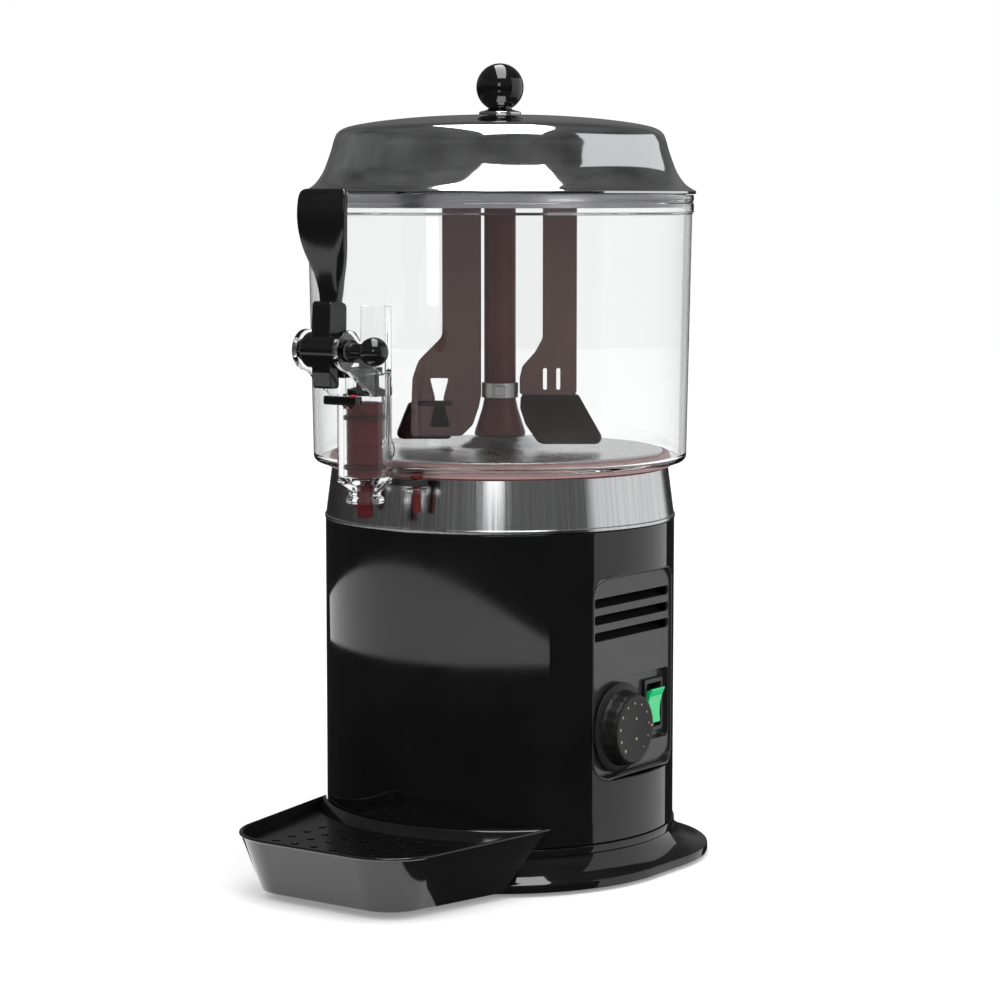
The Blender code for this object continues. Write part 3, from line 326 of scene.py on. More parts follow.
def draw_turned(wires: Wiring, given: dict[str, bpy.types.NodeSocket]) -> bpy.types.NodeSocket:
    """Lathe marks: fine rings about the column axis, uneven in depth.

    Args:
        wires: The node tree's wiring.
        given: The group's input sockets.

    Returns:
        Height.
    """
    place = about_axis(wires, given["Centre Y"])
    radius = radius_of(wires, place)
    line = wires.node("CombineXYZ")
    wires.feed(line.inputs[0], wires.maths("ADD", radius, place.outputs[2]))
    return wires.noise(line.outputs[0], wires.maths("DIVIDE", 1.0, given["Pitch"]), 3.0)


def draw_brushed(wires: Wiring, given: dict[str, bpy.types.NodeSocket]) -> bpy.types.NodeSocket:
    """Brushing round a turned sheet: streaks that run up the side, seamless round it.

    Args:
        wires: The node tree's wiring.
        given: The group's input sockets.

    Returns:
        A mask of streaks.
    """
    place = about_axis(wires, given["Centre Y"])
    radius = radius_of(wires, place)
    spot = wires.node("CombineXYZ")
    for index in (0, 1):
        unit = wires.maths("DIVIDE", place.outputs[index], radius)
        wires.feed(spot.inputs[index], wires.maths("MULTIPLY", unit, given["Around"]))
    wires.feed(spot.inputs[2], wires.maths("MULTIPLY", place.outputs[2], given["Along"]))
    return wires.noise(spot.outputs[0], 1.0, 6.0)


FLOAT, COLOUR = "Float", "Color"
SMUDGE = Effect("smudge", (("Scale", FLOAT), ("Clean", FLOAT), ("Smudged", FLOAT)), ("Roughness", FLOAT),
                draw_smudge)
GRAIN = Effect("moulded_grain", (("Scale", FLOAT), ("Fine", FLOAT)), ("Height", FLOAT), draw_grain)
TWO_TONE = Effect("two_tone", (("Scale", FLOAT), ("Dark", COLOUR), ("Light", COLOUR)), ("Colour", COLOUR),
                  draw_two_tone)
TURNED = Effect("turned_marks", (("Centre Y", FLOAT), ("Pitch", FLOAT)), ("Height", FLOAT), draw_turned)
BRUSHED = Effect("brushed_streaks", (("Centre Y", FLOAT), ("Around", FLOAT), ("Along", FLOAT)),
                 ("Mask", FLOAT), draw_brushed)


# --- Finishes ----------------------------------------------------------------


@dataclass(frozen=True)
class Finish:
    """A moulded or painted surface with its slot in the record."""

    name: str
    slot: str
    colour: Point3
    roughness: float
    tone: float = 1.25
    tone_scale: float = 18.0
    smudged: float = 1.5
    smudge_scale: float = 26.0
    grain_scale: float = 2400.0
    grain_depth: float = 0.02
    coat: float = 0.0
    glow: float = 0.0
    specular: float = 0.5

    def material(self) -> bpy.types.Material:
        """The material, made on first use.

        Returns:
            A Principled material with this finish's nodes.
        """
        known = bpy.data.materials.get(self.name)
        if known:
            return known
        made = bpy.data.materials.new(self.name)
        made.use_nodes = True
        wires = Wiring(made.node_tree)
        shader = made.node_tree.nodes["Principled BSDF"]
        self.dress(wires, shader)
        made.diffuse_color = (*self.colour, 1.0)
        return made

    def shades(self) -> tuple[tuple[float, ...], tuple[float, ...]]:
        """A darker and a lighter colour on each side of the finish's own.

        Returns:
            The darker and the lighter colour.
        """
        dark = tuple(channel / self.tone for channel in self.colour)
        light = tuple(min(channel * self.tone, 1.0) for channel in self.colour)
        return (*dark, 1.0), (*light, 1.0)

    def mottle(self, wires: Wiring, shader: bpy.types.Node) -> None:
        """Let the colour drift between two shades and the roughness follow soft hand marks.

        Args:
            wires: The material's tree.
            shader: Its Principled shader.
        """
        dark, light = self.shades()
        tones = wires.group(TWO_TONE, Scale=self.tone_scale, Dark=dark, Light=light)
        wires.feed(shader.inputs["Base Color"], tones)
        marks = wires.group(SMUDGE, Scale=self.smudge_scale, Clean=self.roughness,
                            Smudged=self.roughness * self.smudged)
        wires.feed(shader.inputs["Roughness"], marks)

    def bump(self, wires: Wiring, shader: bpy.types.Node, height: bpy.types.NodeSocket, depth: float) -> None:
        """Feed a height into the shader's normal.

        Args:
            wires: The material's tree.
            shader: Its Principled shader.
            height: The height to use.
            depth: Strength of the bump, 0 to 1.
        """
        node = wires.node("Bump")
        node.inputs["Strength"].default_value = depth
        node.inputs["Distance"].default_value = 0.0002
        wires.feed(node.inputs["Height"], height)
        wires.feed(shader.inputs["Normal"], node.outputs["Normal"])

    def dress(self, wires: Wiring, shader: bpy.types.Node) -> None:
        """Set the shader's own values and link the shared effects.

        Args:
            wires: The node tree's wiring.
            shader: The material's Principled shader.
        """
        self.mottle(wires, shader)
        shader.inputs["Specular IOR Level"].default_value = self.specular
        shader.inputs["Coat Weight"].default_value = self.coat
        shader.inputs["Coat Roughness"].default_value = 0.05
        if self.glow:
            shader.inputs["Emission Color"].default_value = (*self.colour, 1.0)
            shader.inputs["Emission Strength"].default_value = self.glow
        grain = wires.group(GRAIN, Scale=self.grain_scale, Fine=1.0)
        self.bump(wires, shader, grain, self.grain_depth)


@dataclass(frozen=True)
class Metal(Finish):
    """A bare metal with lathe marks about the column axis."""

    smudge_scale: float = 20.0
    pitch: float = 0.0009
    mark_depth: float = 0.05

    def dress(self, wires: Wiring, shader: bpy.types.Node) -> None:
        """Metal with soft hand marks and turned rings.

        Args:
            wires: The node tree's wiring.
            shader: The material's Principled shader.
        """
        self.mottle(wires, shader)
        shader.inputs["Metallic"].default_value = 1.0
        marks = wires.group(TURNED, **{"Centre Y": Datum.read().y, "Pitch": self.pitch})
        self.bump(wires, shader, marks, self.mark_depth)


@dataclass(frozen=True)
class BrushedMetal(Finish):
    """A metal sheet brushed so that its streaks run up the side."""

    around: float = 70.0
    along: float = 9.0

    def dress(self, wires: Wiring, shader: bpy.types.Node) -> None:
        """Metal whose colour, roughness and height follow one set of streaks.

        Args:
            wires: The node tree's wiring.
            shader: The material's Principled shader.
        """
        streaks = wires.group(BRUSHED, **{"Centre Y": Datum.read().y, "Around": self.around,
                                          "Along": self.along})
        dark, light = self.shades()
        mix = wires.node("Mix", data_type="RGBA")
        wires.feed(mix.inputs["Factor"], wires.spread(streaks, 0.0, 1.0))
        mix.inputs[6].default_value = dark
        mix.inputs[7].default_value = light
        wires.feed(shader.inputs["Base Color"], mix.outputs[2])
        rough = wires.spread(streaks, self.roughness, self.roughness * self.smudged)
        wires.feed(shader.inputs["Roughness"], rough)
        shader.inputs["Metallic"].default_value = 1.0
        self.bump(wires, shader, streaks, self.grain_depth)


@dataclass(frozen=True)
class ClearPlastic(Finish):
    """A clear moulding: acrylic of the bowl and tap."""

    smudge_scale: float = 14.0
    index: float = 1.36
    # Grey that the colour turns towards where the wall is seen edge-on: a painted shade.
    edge: float = 0.12
    edge_shade_power: float = 4.5

    def dress(self, wires: Wiring, shader: bpy.types.Node) -> None:
        """Transmission, with a painted shade where the wall is seen edge-on, and faint wipe marks.

        Args:
            wires: The node tree's wiring.
            shader: The material's Principled shader.
        """
        # Painted shade: the colour darkens towards the edge grey where the wall is seen edge-on.
        facing = wires.node("LayerWeight").outputs["Facing"]
        edge_shade = wires.node("Mix", data_type="RGBA")
        wires.feed(edge_shade.inputs["Factor"], wires.maths("POWER", facing, self.edge_shade_power))
        edge_shade.inputs[6].default_value = (*self.colour, 1.0)
        edge_shade.inputs[7].default_value = (self.edge, self.edge, self.edge, 1.0)
        wires.feed(shader.inputs["Base Color"], edge_shade.outputs[2])
        wipes = wires.group(SMUDGE, Scale=self.smudge_scale, Clean=0.0, Smudged=self.roughness)
        wires.feed(shader.inputs["Roughness"], wipes)
        shader.inputs["Transmission Weight"].default_value = 1.0
        shader.inputs["IOR"].default_value = self.index
        grain = wires.group(GRAIN, Scale=self.grain_scale, Fine=0.0)
        self.bump(wires, shader, grain, self.grain_depth)


GLOSS_BLACK = Finish("gloss_black_shell", "gloss_black", (0.004, 0.004, 0.0042), 0.035, smudged=1.8,
                     grain_scale=900.0, grain_depth=0.012)
PANEL_BLACK = Finish("panel_black", "gloss_black", (0.022, 0.022, 0.023), 0.16, smudged=1.4,
                     grain_scale=2600.0, grain_depth=0.05)
TRAY_BLACK = Finish("tray_black", "gloss_black", (0.006, 0.006, 0.0062), 0.07, smudged=1.6,
                    grain_scale=1500.0, grain_depth=0.02)
SATIN_BLACK = Finish("satin_black", "matte_black", (0.010, 0.010, 0.0105), 0.30, smudged=1.3,
                     grain_scale=3200.0, grain_depth=0.10)
KNOB_BLACK = Finish("knob_black", "matte_black", (0.005, 0.0052, 0.0048), 0.40, smudged=1.25,
                    grain_scale=1600.0, grain_depth=0.06, specular=0.28)
LEVER_BLACK = Finish("lever_black", "gloss_black", (0.0045, 0.0045, 0.0048), 0.10, smudged=1.6,
                     grain_scale=1100.0, grain_depth=0.02)
STIRRER_BROWN = Finish("stirrer_brown", "stirrer_brown", (0.024, 0.0120, 0.0115), 0.36, tone=1.12,
                       smudged=1.3, grain_scale=260.0, grain_depth=0.012, specular=0.05)
# A darker copy of the stirrer brown for the ploughs: painted shade for their tilted, downward-facing faces.
SHOE_SHADED_BROWN = Finish("shoe_brown_painted_shade", "stirrer_brown", (0.0145, 0.0062, 0.0060), 0.36, tone=1.12, smudged=1.3,
                    grain_scale=700.0, grain_depth=0.02, specular=0.12)
COLUMN_BROWN = Finish("column_brown", "stirrer_brown", (0.048, 0.0095, 0.0090), 0.34, tone=1.12,
                      smudged=1.3, grain_scale=700.0, grain_depth=0.02, specular=0.14)
PISTON_RED = Finish("piston_red", "tap_red", (0.062, 0.008, 0.010), 0.40, tone=1.15, smudged=1.3,
                    grain_scale=900.0, grain_depth=0.02, specular=0.05)
DOT_RED = Finish("dot_red", "tap_red", (0.480, 0.010, 0.012), 0.30, tone=1.08)
GROOVE_RED = Finish("groove_red", "seal_red", (0.030, 0.006, 0.007), 0.50, tone=1.10, specular=0.05)
HEAD_BLACK = Finish("head_black", "matte_black", (0.003, 0.003, 0.003), 0.45, tone=1.10, specular=0.06)
PIN_RED = Finish("pin_red", "tap_red", (0.080, 0.006, 0.007), 0.34, tone=1.12, specular=0.2)
SEAL_PINK = Finish("seal_pink", "seal_red", (0.360, 0.215, 0.210), 0.50, tone=1.10, grain_depth=0.08,
                   specular=0.2)
ROCKER_GREEN = Finish("rocker_green", "green", (0.008, 0.460, 0.150), 0.16, tone=1.10, coat=0.4, glow=0.10)
DIAL_MARK = Finish("dial_mark", "matte_black", (0.230, 0.205, 0.150), 0.50, tone=1.15)
FOOT_RUBBER = Finish("foot_rubber", "rubber", (0.018, 0.018, 0.018), 0.80, smudged=1.15, grain_scale=1800.0,
                     grain_depth=0.25)
CASE_GREY = Finish("motor_case", "motor", (0.080, 0.082, 0.086), 0.45, grain_depth=0.15)
CHROME = Metal("polished_lid", "chrome", (0.56, 0.565, 0.575), 0.045, tone=1.02, smudged=1.9, pitch=0.0016,
               mark_depth=0.03)
PLATE_STEEL = Metal("plate_steel", "steel", (0.40, 0.40, 0.41), 0.26, tone=1.04, smudged=1.12, pitch=0.0007,
                    mark_depth=0.16)
BAND_STEEL = BrushedMetal("brushed_band", "steel", (0.53, 0.535, 0.54), 0.12, tone=1.15, smudged=1.8,
                          grain_depth=0.05)
RING_STEEL = Metal("ring_steel", "steel", (0.22, 0.215, 0.215), 0.22, tone=1.05, mark_depth=0.05)
SKIRT_STEEL = Metal("skirt_steel", "chrome", (0.20, 0.20, 0.205), 0.30, tone=1.08, mark_depth=0.08)
# A darker, less shiny copy of the tray black for the grid: painted shade for the inside of the tray.
SIEVE_SHADED_BLACK = Finish("sieve_black_painted_shade", "gloss_black", (0.003, 0.003, 0.0031), 0.16, smudged=1.5,
                     grain_scale=1500.0, grain_depth=0.02, specular=0.22)
ZINC = Metal("zinc_plate", "zinc", (0.42, 0.42, 0.43), 0.38, tone=1.12, tone_scale=160.0, mark_depth=0.05)
ACRYLIC = ClearPlastic("clear_acrylic", "clear", (0.950, 0.954, 0.955), 0.03, grain_scale=500.0,
                       grain_depth=0.01)
TAP_CLEAR = ClearPlastic("tap_clear", "clear", (0.955, 0.96, 0.962), 0.04, grain_scale=900.0,
                         grain_depth=0.02)


# --- Shapes ------------------------------------------------------------------


def arc(centre: Point2, radius: float, start: float, end: float, steps: int) -> list[Point2]:
    """Points on an arc.

    Args:
        centre: Its centre.
        radius: Its radius.
        start: First angle, in degrees.
        end: Last angle, in degrees.
        steps: Number of steps between them.

    Returns:
        The points, both ends included.
    """
    turns = [radians(start + (end - start) * step / steps) for step in range(steps + 1)]
    return [(centre[0] + radius * cos(turn), centre[1] + radius * sin(turn)) for turn in turns]


def circle(centre: Point2, radius: float) -> list[Point2]:
    """The points of a round hole."""
    return arc(centre, radius, 0, 345, 23)


def fillet(corners: Sequence[Sequence[float]], closed: bool = True, steps: int = 4) -> list[Point2]:
    """Round the corners of an outline.

    Args:
        corners: Each corner as (a, b) or (a, b, radius), in millimetres.
        closed: Whether the last corner joins the first.
        steps: Steps in each rounded corner.

    Returns:
        The outline in metres.
    """
    spots = [Vector(corner[:2]) * MM for corner in corners]
    radii = [corner[2] * MM if len(corner) > 2 else 0.0 for corner in corners]
    outline: list[Point2] = []
    count = len(spots)
    for index, (spot, radius) in enumerate(zip(spots, radii)):
        at_end = not closed and index in (0, count - 1)
        before, after = spots[index - 1] - spot, spots[(index + 1) % count] - spot
        if at_end or radius <= 0 or min(before.length, after.length) < 1e-9:
            outline.append(tuple(spot))
            continue
        one, two = before.normalized(), after.normalized()
        half = acos(max(-1.0, min(1.0, one.dot(two)))) / 2
        if half > radians(89.5) or half < radians(1):
            outline.append(tuple(spot))
            continue
        back = min(radius / tan(half), 0.48 * before.length, 0.48 * after.length)
        hub = spot + (one + two).normalized() * (back / cos(half))
        first, last = spot + one * back - hub, spot + two * back - hub
        sweep = first.angle_signed(last)
        for step in range(steps + 1):
            turned = first.copy()
            turned.rotate(Matrix.Rotation(-sweep * step / steps, 2))
            outline.append(tuple(hub + turned))
    return outline


def flowing(points: Sequence[Sequence[float]], steps: int) -> list[tuple[float, ...]]:
    """A smooth line through points, with the same number of values each.

    Args:
        points: The points to pass through.
        steps: Steps between neighbouring points.

    Returns:
        The points on the line, both ends included.
    """
    line = []
    last = len(points) - 1
    for index in range(last):
        group = [Vector(points[max(0, min(last, index + shift))]) for shift in (-1, 0, 1, 2)]
        for step in range(steps):
            t = step / steps
            lead, start, end, trail = group
            value = 2 * start + (end - lead) * t + (2 * lead - 5 * start + 4 * end - trail) * t * t
            value = value + (3 * start - lead - 3 * end + trail) * t ** 3
            line.append(tuple(value / 2))
    line.append(tuple(points[-1]))
    return line


def skin(rings: Sequence[Sequence[Point3]], loop: bool = False, caps: bool = True) -> bmesh.types.BMesh:
    """Bridge closed rings that have the same number of points.

    Args:
        rings: The rings in order.
        loop: Whether the last ring joins the first.
        caps: Whether open ends are filled.

    Returns:
        The surface.
    """
    bm = bmesh.new()
    loops = [[bm.verts.new(point) for point in ring] for ring in rings]
    pairs = list(zip(loops, loops[1:]))
    if loop:
        pairs.append((loops[-1], loops[0]))
    count = len(rings[0])
    for low, high in pairs:
        for index in range(count):
            after = (index + 1) % count
            bm.faces.new((low[index], low[after], high[after], high[index]))
    if caps and not loop:
        bm.faces.new(loops[0])
        bm.faces.new(loops[-1])
    return bm


def lathe(profile: Sequence[Point2], sides: int = 144) -> bmesh.types.BMesh:
    """Revolve a profile about Z; a profile that starts and ends on the axis is left open.

    Args:
        profile: Points as (radius, height).
        sides: Number of sides.

    Returns:
        The solid's surface.
    """
    bm = bmesh.new()
    turns = [2 * pi * index / sides for index in range(sides)]
    loops = []
    for radius, height in profile:
        if radius < 1e-6:
            loops.append([bm.verts.new((0, 0, height))])
        else:
            loops.append([bm.verts.new((radius * cos(t), radius * sin(t), height)) for t in turns])
    pairs = list(zip(loops, loops[1:]))
    if len(loops[0]) > 1 or len(loops[-1]) > 1:
        pairs.append((loops[-1], loops[0]))
    for low, high in pairs:
        if len(low) == len(high) == 1:
            continue
        for index in range(sides):
            after = (index + 1) % sides
            if len(low) == 1:
                bm.faces.new((low[0], high[after], high[index]))
            elif len(high) == 1:
                bm.faces.new((low[index], low[after], high[0]))
            else:
                bm.faces.new((low[index], low[after], high[after], high[index]))
    return bm


def turned_piece(corners: Sequence[Sequence[float]], sides: int = 144, steps: int = 4) -> bmesh.types.BMesh:
    """Revolve rounded corners given in millimetres; open if both ends lie on the axis."""
    open_ends = corners[0][0] == 0 and corners[-1][0] == 0
    return lathe(fillet(corners, closed=not open_ends, steps=steps), sides)


def to_mesh(bm: bmesh.types.BMesh, name: str) -> bpy.types.Mesh:
    """Turn a bmesh into mesh data with outward faces, and free it.

    Args:
        bm: The shape; it is freed.
        name: Its name.

    Returns:
        The mesh.
    """
    bmesh.ops.recalc_face_normals(bm, faces=bm.faces)
    mesh = bpy.data.meshes.new(name)
    bm.to_mesh(mesh)
    bm.free()
    return mesh


def settled(holder: bpy.types.Object) -> bmesh.types.BMesh:
    """The shape of an object with its modifiers or curve settings applied; the object is removed.

    Args:
        holder: The object to settle.

    Returns:
        The settled shape.
    """
    graph = bpy.context.evaluated_depsgraph_get()
    mesh = bpy.data.meshes.new_from_object(holder.evaluated_get(graph))
    bm = bmesh.new()
    bm.from_mesh(mesh)
    bpy.data.objects.remove(holder, do_unlink=True)
    bpy.data.meshes.remove(mesh)
    bmesh.ops.remove_doubles(bm, verts=bm.verts, dist=2e-7)
    return bm


def placed(name: str, data: bpy.types.ID) -> bpy.types.Object:
    """Add an object to the scene.

    Args:
        name: Its name.
        data: Its mesh, curve, light or camera.

    Returns:
        The object.
    """
    made = bpy.data.objects.new(name, data)
    bpy.context.scene.collection.objects.link(made)
    return made


def plate(outline: Sequence[Point2], low: float, high: float, bevel: float, plane: Plane,
          holes: Sequence[Sequence[Point2]] = ()) -> bmesh.types.BMesh:
    """A flat sheet with round edges and holes.

    Args:
        outline: Its outline.
        low: Where its thickness starts.
        high: Where its thickness ends.
        bevel: Radius of its edges.
        plane: The plane of the outline.
        holes: Outlines of its holes.

    Returns:
        The sheet's surface.
    """
    curve = bpy.data.curves.new("sheet", "CURVE")
    curve.dimensions = "2D"
    curve.fill_mode = "BOTH"
    curve.extrude = (high - low) / 2 - bevel
    curve.bevel_depth = bevel
    curve.bevel_resolution = 2
    curve.offset = -bevel
    for loop in [outline, *holes]:
        spline = curve.splines.new("POLY")
        spline.points.add(len(loop) - 1)
        for point, (a, b) in zip(spline.points, loop):
            point.co = (a, b, 0, 1)
        spline.use_cyclic_u = True
    bm = settled(placed("holder", curve))
    bmesh.ops.translate(bm, vec=(0, 0, (low + high) / 2), verts=bm.verts)
    turn = {
        Plane.XY: Matrix.Identity(4),
        Plane.XZ: Matrix(((1, 0, 0, 0), (0, 0, 1, 0), (0, 1, 0, 0), (0, 0, 0, 1))),
        Plane.YZ: Matrix(((0, 0, 1, 0), (1, 0, 0, 0), (0, 1, 0, 0), (0, 0, 0, 1))),
    }[plane]
    bmesh.ops.transform(bm, matrix=turn, verts=bm.verts)
    bmesh.ops.recalc_face_normals(bm, faces=bm.faces)
    return bm


def brick(low: Point3, high: Point3, bevel: float) -> bmesh.types.BMesh:
    """A block between two corners in millimetres, with round edges.

    Args:
        low: Its lower corner.
        high: Its upper corner.
        bevel: Radius of its edges, in millimetres.

    Returns:
        The block.
    """
    bm = bmesh.new()
    bmesh.ops.create_cube(bm, size=1.0)
    size = [(b - a) * MM for a, b in zip(low, high)]
    bmesh.ops.scale(bm, vec=size, verts=bm.verts)
    bmesh.ops.bevel(bm, geom=bm.edges[:], offset=bevel * MM, segments=3, profile=0.5, affect="EDGES")
    bmesh.ops.translate(bm, vec=[(a + b) / 2 * MM for a, b in zip(low, high)], verts=bm.verts)
    return bm


def posed(bm: bmesh.types.BMesh, *steps: Matrix) -> bmesh.types.BMesh:
    """Apply transforms in the given order."""
    for step in steps:
        bmesh.ops.transform(bm, matrix=step, verts=bm.verts)
    return bm


def shift(x: float = 0.0, y: float = 0.0, z: float = 0.0) -> Matrix:
    """A move in millimetres."""
    return Matrix.Translation((x * MM, y * MM, z * MM))


def spin(angle: float, axis: str) -> Matrix:
    """A turn about an axis through the origin, in degrees."""
    return Matrix.Rotation(radians(angle), 4, axis)


def gathered(*parts: bmesh.types.BMesh) -> bmesh.types.BMesh:
    """Several shapes as one mesh.

    Args:
        *parts: The shapes to gather.

    Returns:
        One shape that holds them all.
    """
    whole = bmesh.new()
    for part in parts:
        mesh = to_mesh(part, "part")
        whole.from_mesh(mesh)
        bpy.data.meshes.remove(mesh)
    return whole


def combined(base: bmesh.types.BMesh, tool: bmesh.types.BMesh, how: Join) -> bmesh.types.BMesh:
    """Join two solids, or cut one from the other.

    Args:
        base: The solid that is kept.
        tool: The solid that is added or cut away.
        how: Which of the two.

    Returns:
        The result.
    """
    holder, other = placed("base", to_mesh(base, "base")), placed("tool", to_mesh(tool, "tool"))
    step = holder.modifiers.new("combine", "BOOLEAN")
    step.operation = how.value
    step.solver = "EXACT"
    step.object = other
    bpy.context.view_layer.update()
    result = settled(holder)
    bpy.data.objects.remove(other, do_unlink=True)
    return result


# --- Places ------------------------------------------------------------------


@dataclass(frozen=True)
class Datum:
    """A vertical axis that pieces are drawn about."""

    x: float
    y: float

    @classmethod
    def read(cls, node: str = "standpipe") -> "Datum":
        """The axis of a round node, from the frame."""
        low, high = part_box(node)
        return cls((low.x + high.x) / 2, (low.y + high.y) / 2)

    def here(self) -> Matrix:
        """The move from the drawing's origin to this axis."""
        return Matrix.Translation((self.x, self.y, 0))


@dataclass
class Bench:
    """Turns shapes into dressed pieces on the frame and keeps count of them."""

    count: int = 0

    def add(self, name: str, bm: bmesh.types.BMesh, finish: Finish, body: Rides,
            stands_for: Sequence[str] = (), crease: float = 40.0) -> bpy.types.Object:
        """Make one piece.

        Args:
            name: The piece's name.
            bm: Its shape, in the frame.
            finish: Its finish.
            body: The body that it rides on.
            stands_for: The nodes that it replaces.
            crease: Edges sharper than this, in degrees, stay sharp.

        Returns:
            The new object.
        """
        mesh = to_mesh(bm, name)
        mesh.materials.append(finish.material())
        mesh.shade_smooth()
        mesh.set_sharp_from_angle(angle=radians(crease))
        piece = placed(name, mesh)
        shading = piece.modifiers.new("even_shading", "WEIGHTED_NORMAL")
        shading.weight = 100
        shading.keep_sharp = True
        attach(piece, body.value)
        if stands_for:
            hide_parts(*stands_for)
        self.count += 1
        LOG.info("piece %s: %d faces, rides on %s", name, len(mesh.polygons), body.value)
        return piece

    def redress(self, nodes: Sequence[str], finish: Finish, frame: dict) -> None:
        """Give carried-over nodes a finish.

        Args:
            nodes: Their names.
            finish: The finish.
        """
        for name in nodes:
            node = frame["nodes"][name]
            for slot in node.material_slots:
                slot.material = finish.material()
            LOG.info("node %s: dressed as %s", name, finish.name)


# --- Base --------------------------------------------------------------------


@dataclass
class Base:
    """Flared base pan on four rubber feet."""

    body_r: float = 105 * MM
    half_x: float = 113 * MM
    rear_y: float = 115 * MM
    corner: float = 80 * MM
    top: float = 26 * MM
    seam_foot: float = 21 * MM
    lip_top: float = 7.6 * MM
    bottom: float = 2.3 * MM
    sides: int = 192
    foot_r: float = 9.0
    foot_h: float = 4.0

    def footprint(self, angle: float) -> float:
        """Distance from the axis to the base's rim: round in front, squarer behind.

        Args:
            angle: Direction from the axis, in radians.

        Returns:
            The distance.
        """
        across, back = cos(angle), sin(angle)
        if back <= 0:
            return self.half_x
        corner_x, corner_y = self.half_x - self.corner, self.rear_y - self.corner
        if abs(across) > 1e-9 and self.half_x * back / abs(across) <= corner_y:
            return self.half_x / abs(across)
        if self.rear_y * abs(across) / back <= corner_x:
            return self.rear_y / back
        along = corner_x * abs(across) + corner_y * back
        rest = corner_x ** 2 + corner_y ** 2 - self.corner ** 2
        return along + sqrt(along ** 2 - rest)

    def ring(self, share: float, height: float, inset: float = 0.0) -> list[Point3]:
        """A ring between the round body (share 0) and the footprint (share 1).

        Args:
            share: 0 on the round body, 1 on the footprint.
            height: Height of the ring.
            inset: How far in it lies.

        Returns:
            The ring's points.
        """
        ring = []
        for index in range(self.sides):
            angle = 2 * pi * index / self.sides
            reach = self.body_r + (self.footprint(angle) - self.body_r) * share - inset
            ring.append((reach * cos(angle), reach * sin(angle), height))
        return ring

    def pan(self) -> bmesh.types.BMesh:
        """The pan: round lip, hollow flare and a ring under the body's seam.

        Returns:
            The piece's surface.
        """
        rings = [self.ring(1, self.bottom, 0.7 * MM), self.ring(1, self.bottom + 0.25 * MM, 0.2 * MM)]
        rings += [self.ring(1, self.bottom + 0.8 * MM), self.ring(1, self.lip_top - 1.4 * MM)]
        rings += [self.ring(1, self.lip_top - 0.6 * MM, 0.25 * MM), self.ring(0.98, self.lip_top, 0.5 * MM)]
        rise = self.seam_foot - self.lip_top
        for step in range(1, 17):
            share = step / 16
            rings.append(self.ring(0.06 + 0.84 * (1 - share) ** 1.5, self.lip_top + rise * share ** 1.15))
        proud = -1.0 * MM
        rings += [self.ring(0, self.seam_foot + 0.3 * MM, 0),
                  self.ring(0, self.seam_foot + 0.5 * MM, proud * 0.7)]
        rings += [self.ring(0, self.seam_foot + 1 * MM, proud), self.ring(0, self.top - 0.8 * MM, proud)]
        rings += [self.ring(0, self.top - 0.2 * MM, proud * 0.6), self.ring(0, self.top, 0.2 * MM)]
        rings += [self.ring(0, self.top, 8 * MM), self.ring(0, self.seam_foot, 8 * MM)]
        rings += [self.ring(0.3, 14 * MM, 4 * MM), self.ring(0.92, self.lip_top, 4 * MM)]
        rings += [self.ring(1, self.bottom + 1.5 * MM, 3 * MM), self.ring(1, self.bottom, 3 * MM)]
        return skin(rings, loop=True)

    def build(self, bench: Bench, datum: Datum, frame: dict) -> None:
        """Make the pan and feet, and dress the plate under them.

        Args:
            bench: Where the pieces are made.
            datum: The column axis.
        """
        bench.add("base_flare", posed(self.pan(), datum.here()), GLOSS_BLACK, Rides.CHASSIS, ["base_pan"])
        for side in ("rear_right", "rear_left", "front_right", "front_left"):
            node = f"rubber_foot_{side}"
            spot = Datum.read(node)
            corners = [(0, 0), (self.foot_r - 2.5, 0, 0.3), (self.foot_r - 2.5, 0.5, 0.3),
                       (self.foot_r, 0.5, 0.8), (self.foot_r - 0.9, self.foot_h, 0.3), (0, self.foot_h)]
            foot = posed(turned_piece(corners, 48), spot.here())
            bench.add(f"foot_{side}", foot, FOOT_RUBBER, Rides.CHASSIS, [node])
            bench.redress([f"cover_screw_{side}"], ZINC, frame)
        bench.redress(["bottom_cover"], ZINC, frame)
        bench.redress(["tray_hanger"], SATIN_BLACK, frame)


# --- Body, band and plate ----------------------------------------------------


